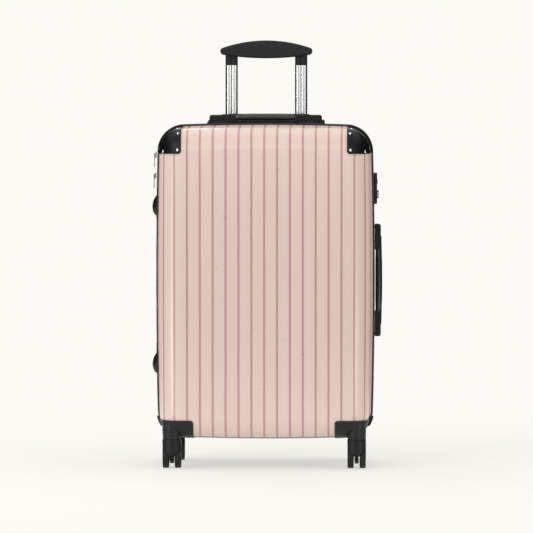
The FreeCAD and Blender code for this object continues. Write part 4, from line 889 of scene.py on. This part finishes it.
class SUITCASE_OT_stage(SuitcaseOperator):
    """Pale floor, soft studio light and the camera"""
    bl_idname = "suitcase.stage"
    bl_label = "Stage"

    def build(self, scene):
        settings = scene.suitcase_stage
        world = bpy.data.worlds.new("studio")
        world.use_nodes = True
        background = world.node_tree.nodes["Background"]
        background.inputs["Color"].default_value = (0.965, 0.955, 0.92, 1.0)
        background.inputs["Strength"].default_value = settings.world
        scene.world = world
        scene.view_settings.view_transform = "Standard"
        self.floor()
        self.lights(settings)
        self.cards()
        self.camera(scene, settings)

    def floor(self):
        mesh = bpy.data.meshes.new("floor")
        half = 4.0
        corners = [(-half, -half, 0), (half, -half, 0), (half, half, 0), (-half, half, 0)]
        mesh.from_pydata([Vector(c) for c in corners], [], [(0, 1, 2, 3)])
        made = bpy.data.objects.new("floor", mesh)
        bpy.context.scene.collection.objects.link(made)
        finish = Finish("floor_paper", (0.34, 0.34, 0.333), 0.9, Specular_IOR_Level=0.0)
        finish.bump(finish.noise(900.0, 2.0), 0.03, 0.0002)
        x, y, _ = finish.axes()
        reach = finish.math("SQRT", finish.math("ADD", finish.math("MULTIPLY", x, x), finish.math("MULTIPLY", y, y)))
        fade = finish.remap(reach, 0.0, 1.0, 0.45, 1.6)
        glow = finish.node("Emission", {"Color": (0.965, 0.955, 0.92), "Strength": 0.585})
        clear = finish.node("BsdfTransparent")
        lit = finish.node("AddShader", {0: finish.shader.outputs[0], 1: glow.outputs[0]})
        mixed = finish.node("MixShader", {0: fade, 1: lit.outputs[0], 2: clear.outputs[0]})
        output = finish.tree.nodes["Material Output"]
        finish.tree.links.new(mixed.outputs[0], output.inputs["Surface"])
        mesh.materials.append(finish.material)

    def lights(self, settings):
        # name, place, width and height, and power as a share of the key light's
        plans = [
            ("key", (-2.6, -3.4, 3.0), (2.2, 2.2), settings.key),
            ("fill", (3.2, -3.0, 1.6), (2.0, 2.0), settings.key * 0.2),
            ("top", (0.0, 0.6, 3.4), (2.4, 2.4), settings.key * 0.25),
            ("back", (-1.2, 3.6, 2.2), (2.0, 2.0), settings.key * 0.4),
            ("low_left", (-1.0, -1.1, 0.10), (0.5, 0.3), settings.key * 0.05),
            ("low_right", (1.0, -1.1, 0.10), (0.5, 0.3), settings.key * 0.042),
            ("high_left", (-1.3, -1.6, 0.85), (0.12, 1.5), settings.key * 0.08),
            ("strip", (0.0, -2.4, 1.3), (1.8, 0.08), settings.key * 0.085),
        ]
        for name, place, (width, tall), power in plans:
            light = bpy.data.lights.new(name, "AREA")
            light.shape = "RECTANGLE"
            light.size, light.size_y, light.energy = width, tall, power
            made = bpy.data.objects.new(name, light)
            made.location = place
            made.rotation_euler = (Vector((0, 0, 0.38)) - Vector(place)).to_track_quat("-Z", "Y").to_euler()
            made.visible_camera = False
            bpy.context.scene.collection.objects.link(made)

    def cards(self):
        """Cards out of the camera's sight. The dark ones at the sides and the low one in front are seen only by gloss,
        and draw the edges of glossy parts. The grey one in front keeps the surrounding white off the case's face."""
        # name, two ends on the floor, height, grey, and whether it takes diffuse light in place of gloss
        plans = [
            ("card_left", (-0.62, 2.6), (-2.3, 0.7), 2.4, 0.012, False),
            ("card_right", (0.62, 2.6), (2.3, 0.7), 2.4, 0.012, False),
            ("card_far_left", (-2.3, 0.7), (-2.3, -2.3), 2.4, 0.012, False),
            ("card_far_right", (2.3, 0.7), (2.3, -2.3), 2.4, 0.012, False),
            ("card_dim", (-1.5, -4.5), (1.5, -4.5), 0.60, 0.012, False),
            ("card_front", (-4.2, -4.6), (4.2, -4.6), 5.0, 0.16, True),
        ]
        for name, (x0, y0), (x1, y1), tall, grey, soaks in plans:
            finish = Finish(name, (grey, grey, grey), 0.95, Specular_IOR_Level=0.0)
            finish.bump(finish.noise(300.0, 2.0), 0.05, 0.001)
            mesh = bpy.data.meshes.new(name)
            points = [(x0, y0, -0.05), (x1, y1, -0.05), (x1, y1, tall), (x0, y0, tall)]
            mesh.from_pydata([Vector(p) for p in points], [], [(0, 1, 2, 3)])
            mesh.materials.append(finish.material)
            made = bpy.data.objects.new(name, mesh)
            bpy.context.scene.collection.objects.link(made)
            made.visible_camera = False
            made.visible_shadow = soaks
            made.visible_diffuse = soaks
            made.visible_glossy = not soaks

    def camera(self, scene, settings):
        data = bpy.data.cameras.new("camera")
        data.sensor_width = 36.0
        data.lens = settings.lens
        data.clip_end = 100.0
        turn, rise = math.radians(settings.azimuth), math.radians(settings.elevation)
        target = Vector((0, 0, settings.target_height))
        away = Vector((math.sin(turn) * math.cos(rise), -math.cos(turn) * math.cos(rise), math.sin(rise)))
        data.shift_x = settings.shift
        made = bpy.data.objects.new("camera", data)
        made.location = target + away * settings.distance
        made.rotation_euler = (-away).to_track_quat("-Z", "Y").to_euler()
        scene.collection.objects.link(made)
        scene.camera = made


OPERATORS = [
    SUITCASE_OT_stage, SUITCASE_OT_shells, SUITCASE_OT_metals, SUITCASE_OT_wheels, SUITCASE_OT_seam,
    SUITCASE_OT_lining, SUITCASE_OT_straps, SUITCASE_OT_handles, SUITCASE_OT_lock,
]


class SUITCASE_PT_panel(bpy.types.Panel):
    """The suitcase's settings and steps"""
    bl_idname = "SUITCASE_PT_panel"
    bl_label = "Suitcase"
    bl_space_type = "VIEW_3D"
    bl_region_type = "UI"
    bl_category = "Suitcase"

    def draw(self, context):
        for group in ("suitcase_case", "suitcase_finish", "suitcase_stage"):
            settings = getattr(context.scene, group)
            box = self.layout.box()
            for name in settings.__annotations__:
                box.prop(settings, name)
        for operator in OPERATORS:
            self.layout.operator(operator.bl_idname)


SETTINGS = {"suitcase_case": CaseSettings, "suitcase_finish": FinishSettings, "suitcase_stage": StageSettings}


def register():
    for made in (*SETTINGS.values(), *OPERATORS, SUITCASE_PT_panel):
        bpy.utils.register_class(made)
    for name, made in SETTINGS.items():
        setattr(bpy.types.Scene, name, PointerProperty(type=made))


def unregister():
    for name in SETTINGS:
        delattr(bpy.types.Scene, name)
    for made in reversed((*SETTINGS.values(), *OPERATORS, SUITCASE_PT_panel)):
        bpy.utils.unregister_class(made)


def main():
    """Registers the add-on, then builds the suitcase's looks one operator after another."""
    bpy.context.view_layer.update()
    register()
    for operator in OPERATORS:
        area, action = operator.bl_idname.split(".")
        getattr(getattr(bpy.ops, area), action)()


if __name__ == "__main__":
    main()
